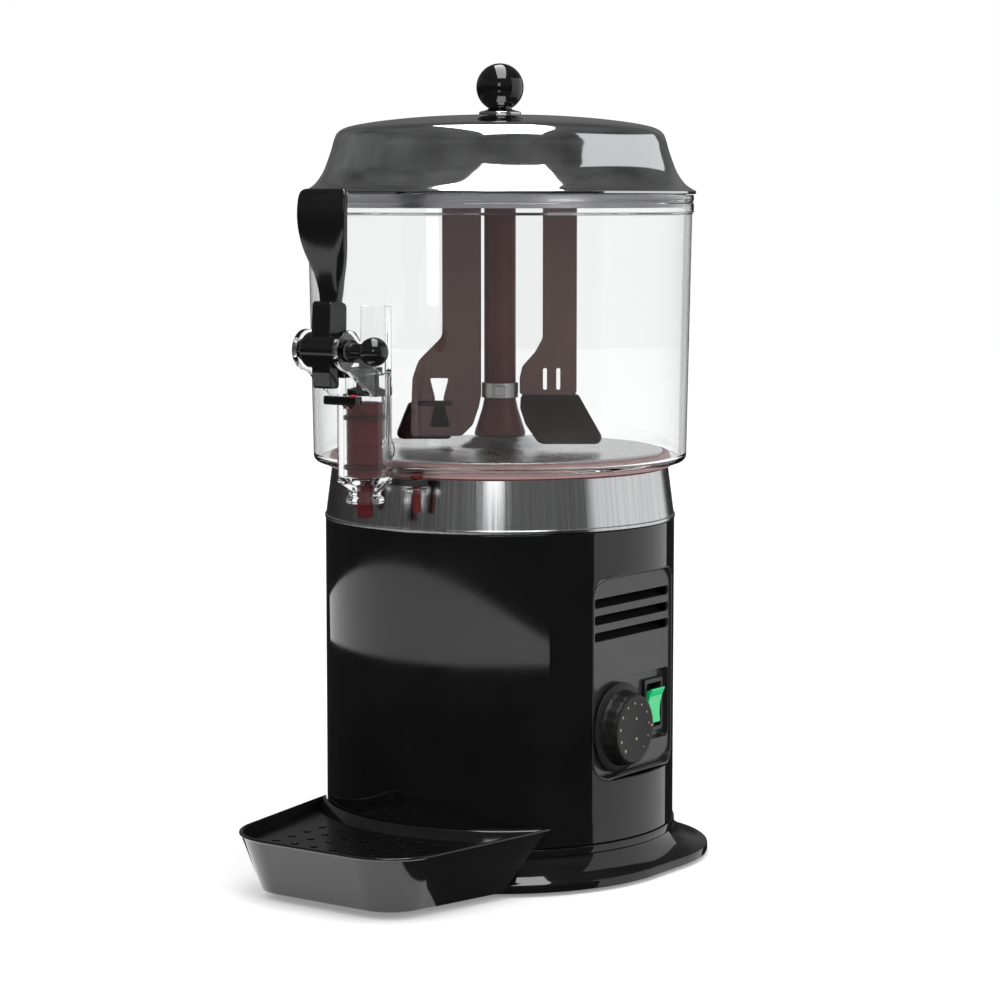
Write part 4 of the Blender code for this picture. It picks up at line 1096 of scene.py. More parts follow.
@dataclass
class Body:
    """Round gloss shell, the steel band over it, and what stands inside."""

    radius: float = 105.0
    wall: float = 2.0
    low: float = 26.3
    top: float = 208.0
    band_low: float = 208.3
    band_top: float = 239.4
    band_r: float = 101.0
    plate_r: float = 98.0
    plate_top: float = 249.0
    cone_top: float = 256.5

    def shell(self, window: Sequence[Point2]) -> bmesh.types.BMesh:
        """The shell with the panel's window cut out of it.

        Args:
            window: The panel's outline, cut from the shell.

        Returns:
            The piece's surface.
        """
        inner = self.radius - self.wall
        corners = [(inner, self.low), (self.radius, self.low, 0.6), (self.radius, self.top, 0.6),
                   (inner, self.top)]
        cutter = plate(window, 60 * MM, 115 * MM, 0.0, Plane.YZ)
        return combined(turned_piece(corners, 180), cutter, Join.CUT)

    def band(self) -> bmesh.types.BMesh:
        """The tapered band with a bead at its foot and a rolled top edge."""
        corners = [(103.5, self.band_low), (105.4, self.band_low, 0.4), (105.4, self.band_low + 1.9, 0.5),
                   (104.7, self.band_low + 2.3, 0.3), (self.band_r, self.band_top - 0.6, 0.8),
                   (self.band_r - 1.2, self.band_top, 0.5), (98.4, self.band_top),
                   (98.4, self.band_top - 1.5), (99.4, self.band_top - 1.5), (103.3, self.band_low + 1.5)]
        return turned_piece(corners, 180)

    def hot_plate(self) -> bmesh.types.BMesh:
        """The heated floor of the bowl, raised round the stirrer's pipe.

        Returns:
            The piece's surface.
        """
        top = self.plate_top
        corners = [(7.4, top - 2), (96, top - 2), (96, 231.4), (self.plate_r, 231.4, 0.3),
                   (self.plate_r, top, 1.6), (70, top), (42, top + 0.1, 8), (27, top + 1.2, 12),
                   (19.5, self.cone_top - 2.5, 4), (16.5, self.cone_top, 1.5), (7.4, self.cone_top)]
        return turned_piece(corners, 144, steps=6)

    def build(self, bench: Bench, datum: Datum, window: Sequence[Point2], frame: dict) -> None:
        """Make the visible turned pieces and dress the works inside.

        Args:
            bench: Where the pieces are made.
            datum: The column axis.
            window: The panel's outline, cut from the shell.
        """
        bench.add("body_skin", posed(self.shell(window), datum.here()), GLOSS_BLACK, Rides.CHASSIS,
                  ["body_shell"], 25)
        bench.add("band", posed(self.band(), datum.here()), BAND_STEEL, Rides.CHASSIS, ["steel_band"])
        bench.add("hot_plate", posed(self.hot_plate(), datum.here()), PLATE_STEEL, Rides.CHASSIS,
                  ["heated_plate"])
        seal = [(98.4, 239.8), (104, 239.8, 0.6), (104, 241.6, 0.6), (102, 242.2, 0.4), (101.9, 247.4, 0.9),
                (98.4, 248.4, 0.8)]
        bench.add("bowl_gasket", posed(turned_piece(seal, 144), datum.here()), SEAL_PINK, Rides.CHASSIS,
                  ["bowl_seal"])
        gland = [(3.6, -2), (7, -2), (7, 8), (10, 8, 0.6), (10, 11, 1.2), (6, 12.2, 1.0), (5.0, 15, 0.6),
                 (3.6, 15)]
        low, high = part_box("cord_gland")
        spot = Matrix.Translation(((low.x + high.x) / 2, high.y - 15 * MM, (low.z + high.z) / 2))
        bench.add("inlet_gland", posed(turned_piece(gland, 48), spin(-90, "X"), spot), SATIN_BLACK,
                  Rides.CHASSIS, ["cord_gland"])
        bench.redress(["standpipe", "motor_bracket", "gearbox", "heating_element", "thermostat_body"], ZINC,
                      frame)
        bench.redress(["gearmotor"], CASE_GREY, frame)
        bench.redress(["shaft_bush_lower", "shaft_bush_upper", "terminal_block"], SATIN_BLACK, frame)
        bench.redress(["drive_shaft"], RING_STEEL, frame)


# --- Control panel -----------------------------------------------------------


@dataclass
class Panel:
    """Flat panel let into the shell: slots, thermostat dial and rocker switch."""

    half_y: float = 43.0
    low: float = 62.0
    high: float = 182.0
    corner: float = 12.0
    rim: float = 1.6
    face_x: float = 95.2
    sheet: float = 2.2
    drum_r: float = 105.0
    slot_half: float = 39.5
    slot_h: float = 5.2
    slot_z: tuple[float, ...] = (166.0, 156.2, 146.4)
    recess: tuple[float, float, float, float] = (-4.0, 78.0, 40.0, 119.5)
    recess_depth: float = 4.0
    switch: Point2 = (27.0, 98.0)
    switch_size: Point2 = (20.0, 32.0)
    rocker_size: Point2 = (14.0, 25.0)
    rocker_tilt: float = 9.0
    dial: Point2 = (-17.5, 91.5)
    dial_r: float = 26.5
    grip_r: float = 21.5
    dial_depth: float = 14.0

    def outline(self, inset: float) -> list[Point2]:
        """The panel's edge, drawn in by an inset in millimetres.

        Args:
            inset: How far in, in millimetres.

        Returns:
            The outline in metres.
        """
        round_off = self.corner - inset
        a, b = self.half_y - inset, inset
        corners = [(a, self.low + b, round_off), (a, self.high - b, round_off),
                   (-a, self.high - b, round_off), (-a, self.low + b, round_off)]
        return fillet(corners, steps=12)

    def frame_rim(self) -> bmesh.types.BMesh:
        """The rim: flush with the round shell outside, down to the flat face inside.

        Returns:
            The piece's surface.
        """
        levels = [(0.3, -5.0), (0.3, -0.35), (0.55, 0.0), (1.2, 0.05), (1.75, -0.3)]
        rings = []
        for inset, lift in levels:
            loop = self.outline(inset)
            rings.append([(sqrt((self.drum_r * MM) ** 2 - y * y) + lift * MM, y, z) for y, z in loop])
        face = [(self.face_x * MM, y, z) for y, z in self.outline(self.rim + 0.3)]
        behind = [((self.face_x - self.sheet) * MM, y, z) for y, z in self.outline(self.rim + 0.3)]
        base = [((self.face_x - 4.5) * MM, y, z) for y, z in self.outline(0.3)]
        return skin([*rings, face, behind, base], loop=True)

    def box_outline(self, low: Point2, high: Point2, corner: float, steps: int = 4) -> list[Point2]:
        """A rectangle in the panel's plane with round corners, in millimetres."""
        corners = [(high[0], low[1], corner), (high[0], high[1], corner), (low[0], high[1], corner),
                   (low[0], low[1], corner)]
        return fillet(corners, steps=steps)

    def build(self, bench: Bench, datum: Datum) -> None:
        """Make the panel, its recess, and the louvres behind the slots.

        Args:
            bench: Where the pieces are made.
            datum: The column axis.
        """
        here = datum.here()
        face, back = self.face_x * MM, (self.face_x - self.sheet) * MM
        left, floor, right, top = self.recess
        slots = [self.box_outline((-self.slot_half, z - self.slot_h / 2),
                                  (self.slot_half, z + self.slot_h / 2), 1.6) for z in self.slot_z]
        mouth = self.box_outline((left, floor), (right, top), 2.5)
        sheet = plate(self.outline(self.rim + 0.4), back, face, 0.35 * MM, Plane.YZ, [*slots, mouth])
        pocket = (self.face_x - self.recess_depth) * MM
        wall = [[(face - 0.5 * MM, y, z) for y, z in self.box_outline((left - 0.4, floor - 0.4),
                                                                      (right + 0.4, top + 0.4), 2.9)]]
        wall += [[(pocket, y, z) for y, z in self.box_outline((left, floor), (right, top), 2.5)]]
        wall += [[(pocket - 1.4 * MM, y, z) for y, z in self.box_outline((left, floor), (right, top), 2.5)]]
        wall += [[(face - 1.6 * MM, y, z) for y, z in self.box_outline((left - 1.6, floor - 1.6),
                                                                       (right + 1.6, top + 1.6), 3.5)]]
        hole = self.box_outline(*self.switch_span(-1.2), 0.5)
        pan = plate(self.box_outline((left + 0.05, floor + 0.05), (right - 0.05, top - 0.05), 2.4),
                    pocket - 1.3 * MM, pocket, 0.1 * MM, Plane.YZ, [hole])
        whole = gathered(sheet, self.frame_rim(), skin(wall, loop=True), pan)
        bench.add("panel_face", posed(whole, here), PANEL_BLACK, Rides.CHASSIS, ["control_panel"], 30)
        for number, z in enumerate(self.slot_z, start=1):
            fin = brick((-4.2, -self.slot_half + 1, -0.5), (4.2, self.slot_half - 1, 0.5), 0.35)
            fin = posed(fin, spin(32, "Y"), shift(self.face_x - 6.8, 0, z - 2.2), here)
            bench.add(f"louvre_{number}", fin, SATIN_BLACK, Rides.CHASSIS)
        self.build_switch(bench, here)
        self.build_dial(bench, here)

    def switch_span(self, grow: float) -> tuple[Point2, Point2]:
        """The switch bezel's two corners, grown on each side."""
        (y, z), (wide, tall) = self.switch, self.switch_size
        return (y - wide / 2 - grow, z - tall / 2 - grow), (y + wide / 2 + grow, z + tall / 2 + grow)

    def build_switch(self, bench: Bench, here: Matrix) -> None:
        """Bezel, housing and the green rocker.

        Args:
            bench: Where the pieces are made.
            here: The move to the axis that the pieces are drawn about.
        """
        flange = self.face_x - self.recess_depth + 0.3
        (y, z), (wide, tall) = self.switch, self.rocker_size
        well = self.box_outline((y - wide / 2 - 0.6, z - tall / 2 - 0.6),
                                (y + wide / 2 + 0.6, z + tall / 2 + 0.6), 0.5)
        bezel = plate(self.box_outline(*self.switch_span(0), 1.5), flange * MM, (flange + 2) * MM, 0.5 * MM,
                      Plane.YZ, [well])
        sleeve = plate(self.box_outline(*self.switch_span(-1.5), 0.6), (flange - 5.2) * MM,
                       (flange + 0.4) * MM, 0.1 * MM, Plane.YZ, [well])
        low, high = self.switch_span(-1.5)
        case = brick((flange - 22, *low), (flange - 5.3, *high), 0.6)
        bench.add("switch_bezel", posed(gathered(bezel, sleeve, case), here), SATIN_BLACK, Rides.CHASSIS,
                  ["switch_housing"])
        half = tall / 2 - 0.8
        side = [(3.2, half, 0.6), (-4.5, half * 0.55, 0.5), (-4.5, -half * 0.55, 0.5), (3.2, -half, 0.6),
                (1.7, -half * 0.5, 6), (1.05, 0, 14), (1.7, half * 0.5, 6)]
        rocker = plate(fillet(side), -wide / 2 * MM, wide / 2 * MM, 0.5 * MM, Plane.XZ)
        rocker = posed(rocker, spin(self.rocker_tilt, "Y"), shift(flange + 1, y, z), here)
        bench.add("rocker_cap", rocker, ROCKER_GREEN, Rides.ROCKER, ["rocker"])

    def grip(self) -> bmesh.types.BMesh:
        """The dial's grip: shallow flutes that fade towards the skirt and the face.

        Returns:
            The piece's surface.
        """
        sides, flutes = 240, 20
        levels = [(self.grip_r + 0.8, 5.0, 0.0), (self.grip_r + 0.2, 6.0, 0.5), (self.grip_r, 7.2, 1.0),
                  (self.grip_r - 0.3, self.dial_depth - 2.6, 1.0),
                  (self.grip_r - 0.9, self.dial_depth - 1.2, 0.6),
                  (self.grip_r - 1.9, self.dial_depth - 0.4, 0.15),
                  (self.grip_r - 3.2, self.dial_depth - 0.1, 0.0),
                  (self.grip_r - 6.0, self.dial_depth - 0.5, 0.0), (1.5, self.dial_depth - 0.8, 0.0)]
        rings = []
        for radius, height, depth in levels:
            ring = []
            for index in range(sides):
                turn = 2 * pi * index / sides
                reach = (radius - 0.45 * depth * (1 - cos(flutes * turn)) / 2) * MM
                ring.append((reach * cos(turn), reach * sin(turn), height * MM))
            rings.append(ring)
        return skin(rings)

    def build_dial(self, bench: Bench, here: Matrix) -> None:
        """Skirt, grip and the pale setting dots on the dial's face.

        Args:
            bench: Where the pieces are made.
            here: The move to the axis that the pieces are drawn about.
        """
        lift = 1.9
        skirt = [(0, -6), (3, -6), (3, lift), (self.dial_r - 1.4, lift, 0.4),
                 (self.dial_r, lift + 0.8, 0.5), (self.dial_r, lift + 1.6, 0.6),
                 (self.dial_r - 2.2, lift + 2.5, 1.2), (self.grip_r + 0.6, lift + 3.2, 0.8),
                 (self.grip_r - 1, lift + 3.4), (0, lift + 3.4)]
        place = (spin(90, "Y"), shift(self.face_x, *self.dial), here)
        knob = gathered(turned_piece(skirt, 144), self.grip())
        bench.add("dial_knob", posed(knob, *place), KNOB_BLACK, Rides.DIAL, ["thermostat_knob"])
        dots = []
        for step in range(11):
            turn = radians(40 + 28 * step)
            size = 0.45 + 0.055 * step
            dot = turned_piece([(0, 13.3), (size, 13.3), (size, 13.75, 0.1), (0, 13.75)], 20)
            dots.append(posed(dot, shift(15.2 * cos(turn), 15.2 * sin(turn), 0)))
        for turn in (18, 162):
            spot = radians(turn)
            dots.append(posed(turned_piece([(0, 13.0), (0.9, 13.0), (0.9, 13.65, 0.15), (0, 13.65)], 20),
                              shift(6.2 * cos(spot), 6.2 * sin(spot), 0)))
        dots.append(brick((-0.45, 16.6, 13.4), (0.45, 19.6, 13.98), 0.12))
        bench.add("dial_dots", posed(gathered(*dots), *place), DIAL_MARK, Rides.DIAL)


# --- Bowl and lid ------------------------------------------------------------


@dataclass
class Bowl:
    """Clear bowl that stands on the gasket, and the domed lid on it."""

    wall: float = 3.0
    bottom: float = 242.0
    corner_z: float = 248.0
    low_r: float = 112.0
    rim_z: float = 389.0
    rim_r: float = 115.5
    top: float = 400.3
    mouth: float = 102.3
    lid_top: float = 447.5
    skirt_r: float = 110.9
    ball_r: float = 14.1
    ball_top: float = 478.0

    def shell(self) -> bmesh.types.BMesh:
        """The bowl: round bottom corner, slight taper and a thick stepped rim.

        Returns:
            The piece's surface.
        """
        neck = self.rim_r - 1.0
        corners = [(self.mouth, self.bottom, 0.8), (self.low_r - 0.1, self.bottom, 6.5),
                   (self.low_r, self.corner_z + 2, 0), (neck, self.rim_z, 1.2),
                   (self.rim_r, self.rim_z + 1, 0.8), (self.rim_r, 395.0, 0.3),
                   (self.rim_r - 0.45, 395.6, 0.3), (self.rim_r - 0.45, 396.6, 0.3),
                   (self.rim_r, 397.2, 0.3), (self.rim_r, self.top, 0.8),
                   (self.rim_r - self.wall, self.top, 0.8), (neck - self.wall, self.rim_z, 3),
                   (self.low_r - self.wall, self.corner_z + 2, 0),
                   (self.low_r - self.wall, self.bottom + self.wall, 4),
                   (self.mouth, self.bottom + self.wall, 0.8)]
        return turned_piece(corners, 180, steps=7)

    def dome(self) -> bmesh.types.BMesh:
        """The lid: low crown, round shoulder, hollow flare and rolled rim, with a skirt inside.

        Returns:
            The piece's surface.
        """
        crown = [(0, 447.5), (26, 447.2), (50, 445.9), (70, 443.9), (84, 441.8), (92, 439.8), (96.6, 437.0),
                 (98.7, 432.8), (100.2, 427.5), (102.4, 421), (105.4, 413.6), (110, 407), (114.2, 403.9),
                 (116.0, 403.0)]
        outside = [(a * MM, b * MM) for a, b in flowing(crown, 5)]
        outside[0] = (0.0, crown[0][1] * MM)
        edge = fillet([(116.0, 403.0), (116.8, 402.4, 0.5), (116.8, 400.9, 0.5), (116.0, 400.7, 0.2),
                       (110, 400.7)], closed=False)
        under = [(max(a - 1.2 * MM, 0.0), b - 1.5 * MM) for a, b in reversed(outside) if a < 114 * MM]
        under[-1] = (0.0, under[-1][1])
        return lathe(outside + edge[1:] + under, 180)

    def build(self, bench: Bench, datum: Datum) -> None:
        """Make the bowl, lid and ball knob.

        Args:
            bench: Where the pieces are made.
            datum: The column axis.
        """
        here = datum.here()
        bench.add("bowl_clear", posed(self.shell(), here), ACRYLIC, Rides.BOWL, ["bowl"], 60)
        bench.add("lid_dome", posed(self.dome(), here), CHROME, Rides.LID, ["lid"], 50)
        skirt = [(self.skirt_r, 401.4), (self.skirt_r, 392.6, 0.4), (109.4, 392.6, 0.4), (109.4, 401.4)]
        bench.add("lid_skirt", posed(turned_piece(skirt, 180), here), SKIRT_STEEL, Rides.LID)
        low = self.lid_top + 0.3
        collar = [(0, low), (12.5, low, 0.4), (12.5, low + 1.6, 0.9), (7.2, low + 3.0, 1.6),
                  (6, low + 5.6, 0.5), (0, low + 5.6)]
        bench.add("knob_collar", posed(turned_piece(collar, 96), here), CHROME, Rides.LID,
                  ["lid_knob_collar"])
        centre = self.ball_top - self.ball_r
        ball = [(0.0, (centre - 12.7) * MM)]
        ball += arc((0, centre * MM), self.ball_r * MM, -64, 90, 36)[:-1]
        ball.append((0.0, self.ball_top * MM))
        bench.add("knob_ball", posed(lathe(ball, 96), here), GLOSS_BLACK, Rides.LID, ["lid_knob"])


# --- Stirrer -----------------------------------------------------------------


@dataclass
class Stirrer:
    """Column, hub, steel ring and two blades, drawn along X and turned to their rest angle."""

    angle: float = 36.0
    bore: float = 7.6
    radius: float = 9.5
    foot_r: float = 15.5
    low: float = 257.0
    top: float = 398.0
    hub_top: float = 416.0
    blade: float = 3.0
    plough_tilt: float = 35.0

    def left(self) -> tuple[bmesh.types.BMesh, bmesh.types.BMesh]:
        """The wide blade's plough and crossbar, and its tall strip with a waisted window.

        Returns:
            The plough with its bar, and the blade.
        """
        edge = [(-13.3, 408, 2), (-34.6, 408, 3), (-34.6, 316, 7), (-49, 301.5, 12), (-52.6, 291, 8),
                (-54, 256.2, 3), (-23, 256.2, 4), (-16.3, 263, 5), (-12.6, 274, 6), (-11.3, 281, 4),
                (-11.3, 394, 2), (-13.3, 397, 1)]
        window = [(-42, 291, 0.8), (-31, 291, 0.8), (-34, 279, 1), (-33.5, 275, 1), (-30, 261.5, 0.8),
                  (-42, 261.5, 0.8), (-39.5, 275, 1), (-39, 279, 1)]
        half = self.blade / 2 * MM
        blade = plate(fillet(edge), -half, half, 0.6 * MM, Plane.XZ, [fillet(window)])
        shoe = plate(fillet([(-11, 13.5, 3), (13, 13.5, 3), (15, -14, 3), (-20, -14, 4)]), -1.3 * MM,
                     1.3 * MM, 0.6 * MM, Plane.XZ)
        shoe = posed(shoe, spin(self.plough_tilt, "X"), shift(-44, 8.4, 265))
        bar = brick((-50.0, -3.4, 274.6), (-28.5, 0.6, 277.6), 0.9)
        return gathered(shoe, bar), blade

    def right(self) -> tuple[bmesh.types.BMesh, bmesh.types.BMesh]:
        """The narrow blade's tongue, and its offset strip with two slits.

        Returns:
            The tongue, and the blade.
        """
        edge = [(13.3, 401, 1), (25.6, 401, 2), (25.6, 315, 5), (21, 306.5, 8), (13.4, 298, 5),
                (11.8, 291, 3), (11.8, 281, 2), (46, 280.4, 3), (46, 408, 4), (13.3, 408, 2)]
        slits = [fillet([(u - 1.2, 284, 1), (u + 1.2, 284, 1), (u + 1.2, 297, 1), (u - 1.2, 297, 1)])
                 for u in (27, 35)]
        half = self.blade / 2 * MM
        blade = plate(fillet(edge), -half, half, 0.6 * MM, Plane.XZ, slits)
        tongue = [(-21.5, 17, 3), (13, 17, 3), (28.6, -16.8, 4), (-11, -16.8, 6), (-19, -3, 6), (-22, 8, 5)]
        tongue = plate(fillet(tongue), -1.3 * MM, 1.3 * MM, 0.6 * MM, Plane.XZ)
        tongue = posed(tongue, spin(-self.plough_tilt, "X"), shift(34, -9.6, 267))
        return tongue, blade

    def build(self, bench: Bench, datum: Datum) -> None:
        """Make the stirrer's pieces at their rest angle.

        Args:
            bench: Where the pieces are made.
            datum: The column axis.
        """
        turn = spin(self.angle, "Z")
        here = datum.here()
        column = [(self.bore, self.low, 0.4), (self.foot_r, self.low, 0.8),
                  (self.foot_r - 0.5, self.low + 2.6, 1.5), (self.radius + 1.2, 273, 10),
                  (self.radius, 279), (self.radius, self.top, 0.5), (self.bore, self.top, 0.5)]
        bench.add("stir_column", posed(turned_piece(column, 72), turn, here), COLUMN_BROWN, Rides.STIRRER,
                  ["stirrer_column"])
        ring = [(9.8, 279.5, 0.2), (10.95, 279.5, 0.4), (10.95, 288.5, 0.4), (9.8, 288.5, 0.2)]
        clamp = brick((-3.5, -12.9, 281), (3.5, -10.6, 287), 0.5)
        ring_mesh = gathered(turned_piece(ring, 72), clamp)
        bench.add("stir_ring", posed(ring_mesh, turn, here), RING_STEEL, Rides.STIRRER, ["stirrer_ring"])
        socket = 6.0
        hub = [(self.bore + 0.4, self.top + 0.3), (13, self.top + 0.3, 0.8), (13, self.hub_top - 3, 2),
               (9, self.hub_top, 2.5), (0, self.hub_top), (0, 411.8), (socket + 0.7, 411.8),
               (socket + 0.7, 405.8), (self.bore + 0.4, 405.8)]
        bench.add("stir_hub", posed(turned_piece(hub, 72), turn, here), STIRRER_BROWN, Rides.STIRRER,
                  ["stirrer_hub"])
        for name, side, parts in (("wide", "left", self.left()), ("narrow", "right", self.right())):
            shoe, blade = parts
            bench.add(f"blade_{name}", posed(blade, turn, here), STIRRER_BROWN, Rides.STIRRER,
                      [f"stirrer_blade_{side}"])
            # The ploughs take the darker brown, a painted shade.
            bench.add(f"shoe_{name}", posed(shoe, turn, here), SHOE_SHADED_BROWN, Rides.STIRRER)


# --- Tap ---------------------------------------------------------------------


@dataclass
class Tap:
    """Clear barrel with its piston, lever and pins, drawn about the barrel's axis."""

    radius: float = 15.4
    bore: float = 12.4
    low: float = 239.0
    front_top: float = 301.0
    back_top: float = 338.0
    neck_z: float = 256.0
    ahead: float = 33.0
    pivot_z: float = 314.6
    ear_x: float = 12.6
    ear_t: float = 3.6
    ear_r: float = 11.5
    pin_r: float = 3.5
    ball_r: float = 8.1
    bar_ahead: float = 20.5
    sides: int = 120

    def rim_height(self, turn: float) -> float:
        """Height of the barrel's edge in a direction, in millimetres.

        Args:
            turn: Direction from the barrel's axis, in radians.

        Returns:
            High behind, lower in front, with the piston arm's slot.
        """
        across, behind = self.radius * cos(turn), sin(turn)
        if behind > abs(cos(turn)):
            return self.back_top
        if behind < 0 and abs(across) < 3.3:
            return self.front_top - 20
        if behind < 0 and abs(across) < 9.4:
            return self.pivot_z - 16.0
        return self.front_top

    def barrel(self) -> bmesh.types.BMesh:
        """The barrel as one solid: spout, bore, cut-away edge, ears and outlet neck.

        Returns:
            The piece's surface.
        """
        foot = fillet([(5.4, 227), (11, 227, 0.6), (11, 230, 0.6), (9.2, 231, 0.8), (9.2, 233.4, 1.2),
                       (self.radius, 238.6, 1.6), (self.radius, 244)], closed=False)
        inside = fillet([(self.bore, 246), (self.bore, 242, 0.8), (5.4, 236, 0.8), (5.4, 233)], closed=False)
        edge = [(self.radius, -0.5), (self.radius - 0.5, 0.0), (self.bore + 0.5, 0.0), (self.bore, -0.5)]
        turns = [2 * pi * index / self.sides for index in range(self.sides)]
        rings = [[(r * cos(t), r * sin(t), z) for t in turns] for r, z in foot]
        rings += [[(r * MM * cos(t), r * MM * sin(t), (self.rim_height(t) + z) * MM) for t in turns]
                  for r, z in edge]
        rings += [[(r * cos(t), r * sin(t), z) for t in turns] for r, z in inside]
        solid = skin(rings, loop=True)
        strap = [(a / MM, b / MM) for a, b in arc((-self.ahead * MM, self.pivot_z * MM), self.ear_r * MM,
                                                  62, 268, 28)]
        strap += [(-12, 288, 3), (5, 288, 1), (5, 298, 1), (-9, 303.5, 6)]
        hole = circle((-self.ahead * MM, self.pivot_z * MM), (self.pin_r + 0.3) * MM)
        for low in (self.ear_x, -self.ear_x - self.ear_t):
            ear = plate(fillet(strap), low * MM, (low + self.ear_t) * MM, 0.6 * MM, Plane.YZ, [hole])
            solid = combined(solid, ear, Join.ADD)
        neck = posed(turned_piece([(0, 13.2), (7.5, 13.2), (7.5, 18.7, 0.5), (0, 18.7)], 48),
                     spin(-90, "X"), shift(0, 0, self.neck_z))
        solid = combined(solid, neck, Join.ADD)
        way = posed(turned_piece([(0, 9), (5, 9), (5, 22), (0, 22)], 48), spin(-90, "X"),
                    shift(0, 0, self.neck_z))
        return combined(solid, way, Join.CUT)

    def piston(self) -> bmesh.types.BMesh:
        """The red piston: pointed seat, tip in the spout and two grooves.

        Returns:
            The piece's surface.
        """
        corners = [(0, 218.6), (4.6, 218.6, 1.4), (4.6, 239, 0.4), (10, 243, 0.4), (10, 246, 0.2),
                   (8.8, 246), (8.8, 249), (10, 249, 0.2), (10, 258.6, 0.15), (9.7, 258.9), (9.7, 259.6),
                   (10, 259.9, 0.15), (10, 274, 0.2), (8.8, 274), (8.8, 277), (10, 277, 0.2),
                   (10, 284, 0.8), (0, 284)]
        arm = brick((-2.4, -self.bar_ahead + 2.8, 282.4), (2.4, -5, 287.4), 0.6)
        return gathered(turned_piece(corners, 64), arm)

    def spoon(self) -> bmesh.types.BMesh:
        """The lever's handle: a neck that opens into a hollow thumb plate.

        Returns:
            The piece's surface.
        """
        spine = [(3.5, 24, 5.8, 8.6), (4.2, 32, 6.9, 9.0), (3.6, 40, 8.8, 9.0), (2.5, 47, 11.4, 8.8),
                 (0.6, 56, 14.4, 8.4), (-0.8, 66, 16.2, 8.0), (-1.1, 75, 16.8, 7.6), (-0.6, 83, 16.6, 7.0),
                 (0.1, 86.6, 16.0, 6.2), (0.4, 88.2, 14.8, 4.8), (0.5, 88.9, 13.0, 2.8)]
        rings = []
        for y, z, half, thick in flowing(spine, 5):
            hollow = 2.6 * (half / 16) ** 2
            ring = []
            for index in range(48):
                turn = 2 * pi * index / 48
                a, b = cos(turn), sin(turn)
                x = half * abs(a) ** 0.55 * (1 if a > 0 else -1)
                depth = thick / 2 * abs(b) ** 0.62 * (1 if b > 0 else -1)
                ring.append((x * MM, (y + depth - hollow * (x / half) ** 2) * MM, z * MM))
            rings.append(ring)
        return skin(rings)

    def build_lever(self, bench: Bench, here: Matrix) -> None:
        """Hub, toe, fork and handle about the pivot, and the pin with its ball end.

        Args:
            bench: Where the pieces are made.
            here: The move to the axis that the pieces are drawn about.
        """
        pivot = (shift(0, -self.ahead, self.pivot_z), here)
        bench.add("lever_spoon", posed(self.spoon(), *pivot), LEVER_BLACK, Rides.LEVER, ["tap_lever"], 50)
        inner = self.ear_x - 0.6
        hub = turned_piece([(3.8, -inner), (10, -inner, 0.8), (10, inner, 0.8), (3.8, inner)], 72)
        side = [(-5.2, 27.5, 2.4), (-6.4, 8, 4), (-6.2, -12, 4), (-5, -21, 1.6), (2.5, -21, 1.6),
                (3, -10, 5), (9, -6, 3), (10, 26, 3.5)]
        block = plate(fillet(side), -6.5 * MM, 6.5 * MM, 1.0 * MM, Plane.YZ, [circle((0, 0), 3.8 * MM)])
        prongs = []
        for sign in (-1, 1):
            near, far = sorted((sign * 5.4, sign * 8.6))
            prongs.append(brick((near, 5, -15.4), (far, 39, -10.8), 0.7))
            prongs.append(brick((near, 3, -15.4), (far, 9, -2), 0.7))
        whole = gathered(posed(hub, spin(90, "Y")), block, *prongs)
        bench.add("lever_hub", posed(whole, *pivot), LEVER_BLACK, Rides.LEVER)
        shoulder = self.ear_x + self.ear_t + 0.3
        ball_x = shoulder + 8 + self.ball_r
        pin = [(0, (-shoulder - 2.6) * MM), (5.6 * MM, (-shoulder - 2.6) * MM),
               (6.2 * MM, (-shoulder - 2.0) * MM)]
        pin += [(6.2 * MM, (-shoulder) * MM), (self.pin_r * MM, (-shoulder) * MM),
                (self.pin_r * MM, shoulder * MM)]
        pin += fillet([(6.4, shoulder), (6.4, shoulder + 1.6, 0.5), (4.6, shoulder + 2.4, 0.8),
                       (4.2, ball_x - 6.6)], closed=False)
        pin += arc((0, ball_x * MM), self.ball_r * MM, -55, 90, 24)[:-1]
        pin.append((0.0, (ball_x + self.ball_r) * MM))
        bench.add("pivot_pin", posed(lathe(pin, 64), spin(90, "Y"), *pivot), LEVER_BLACK, Rides.BOWL,
                  ["lever_pin"])

    def build(self, bench: Bench, here: Matrix) -> None:
        """Make the tap's pieces.

        Args:
            bench: Where the pieces are made.
            here: The move to the axis that the pieces are drawn about.
        """
        bench.add("tap_tube", posed(self.barrel(), here), TAP_CLEAR, Rides.BOWL, ["tap_barrel"], 35)
        bench.add("piston_body", posed(self.piston(), here), PISTON_RED, Rides.PISTON, ["tap_piston"])
        for name, low in (("lower", 246.2), ("upper", 274.2)):
            ring = [(8.9, low, 0.3), (12.1, low, 1.0), (12.1, low + 2.6, 1.0), (8.9, low + 2.6, 0.3)]
            bench.add(f"ring_{name}", posed(turned_piece(ring, 64), here), GROOVE_RED, Rides.PISTON,
                      [f"piston_ring_{name}"])
        head = [(0, 288), (11, 288, 0.6), (11, 291, 0.6), (4.6, 292.4, 1.5), (4.4, 306), (8.5, 306.4, 0.5),
                (8.5, 309, 0.8), (0, 310)]
        bench.add("head_cap", posed(turned_piece(head, 64), here), HEAD_BLACK, Rides.PISTON, ["piston_head"])
        y = -self.bar_ahead
        bench.add("cross_bar", posed(brick((-11.5, y - 2.5, 283.5), (11.5, y + 2.5, 288.5), 0.9), here),
                  LEVER_BLACK, Rides.PISTON, ["lift_bar"])
        dot = turned_piece([(0, -0.2), (2.1, -0.2), (2.1, 0.9, 0.4), (0, 0.9)], 24)
        bench.add("bar_dot", posed(dot, shift(7.8, y, 288.5), here), DOT_RED, Rides.PISTON)
        self.build_lever(bench, here)
        self.build_lock(bench, here)

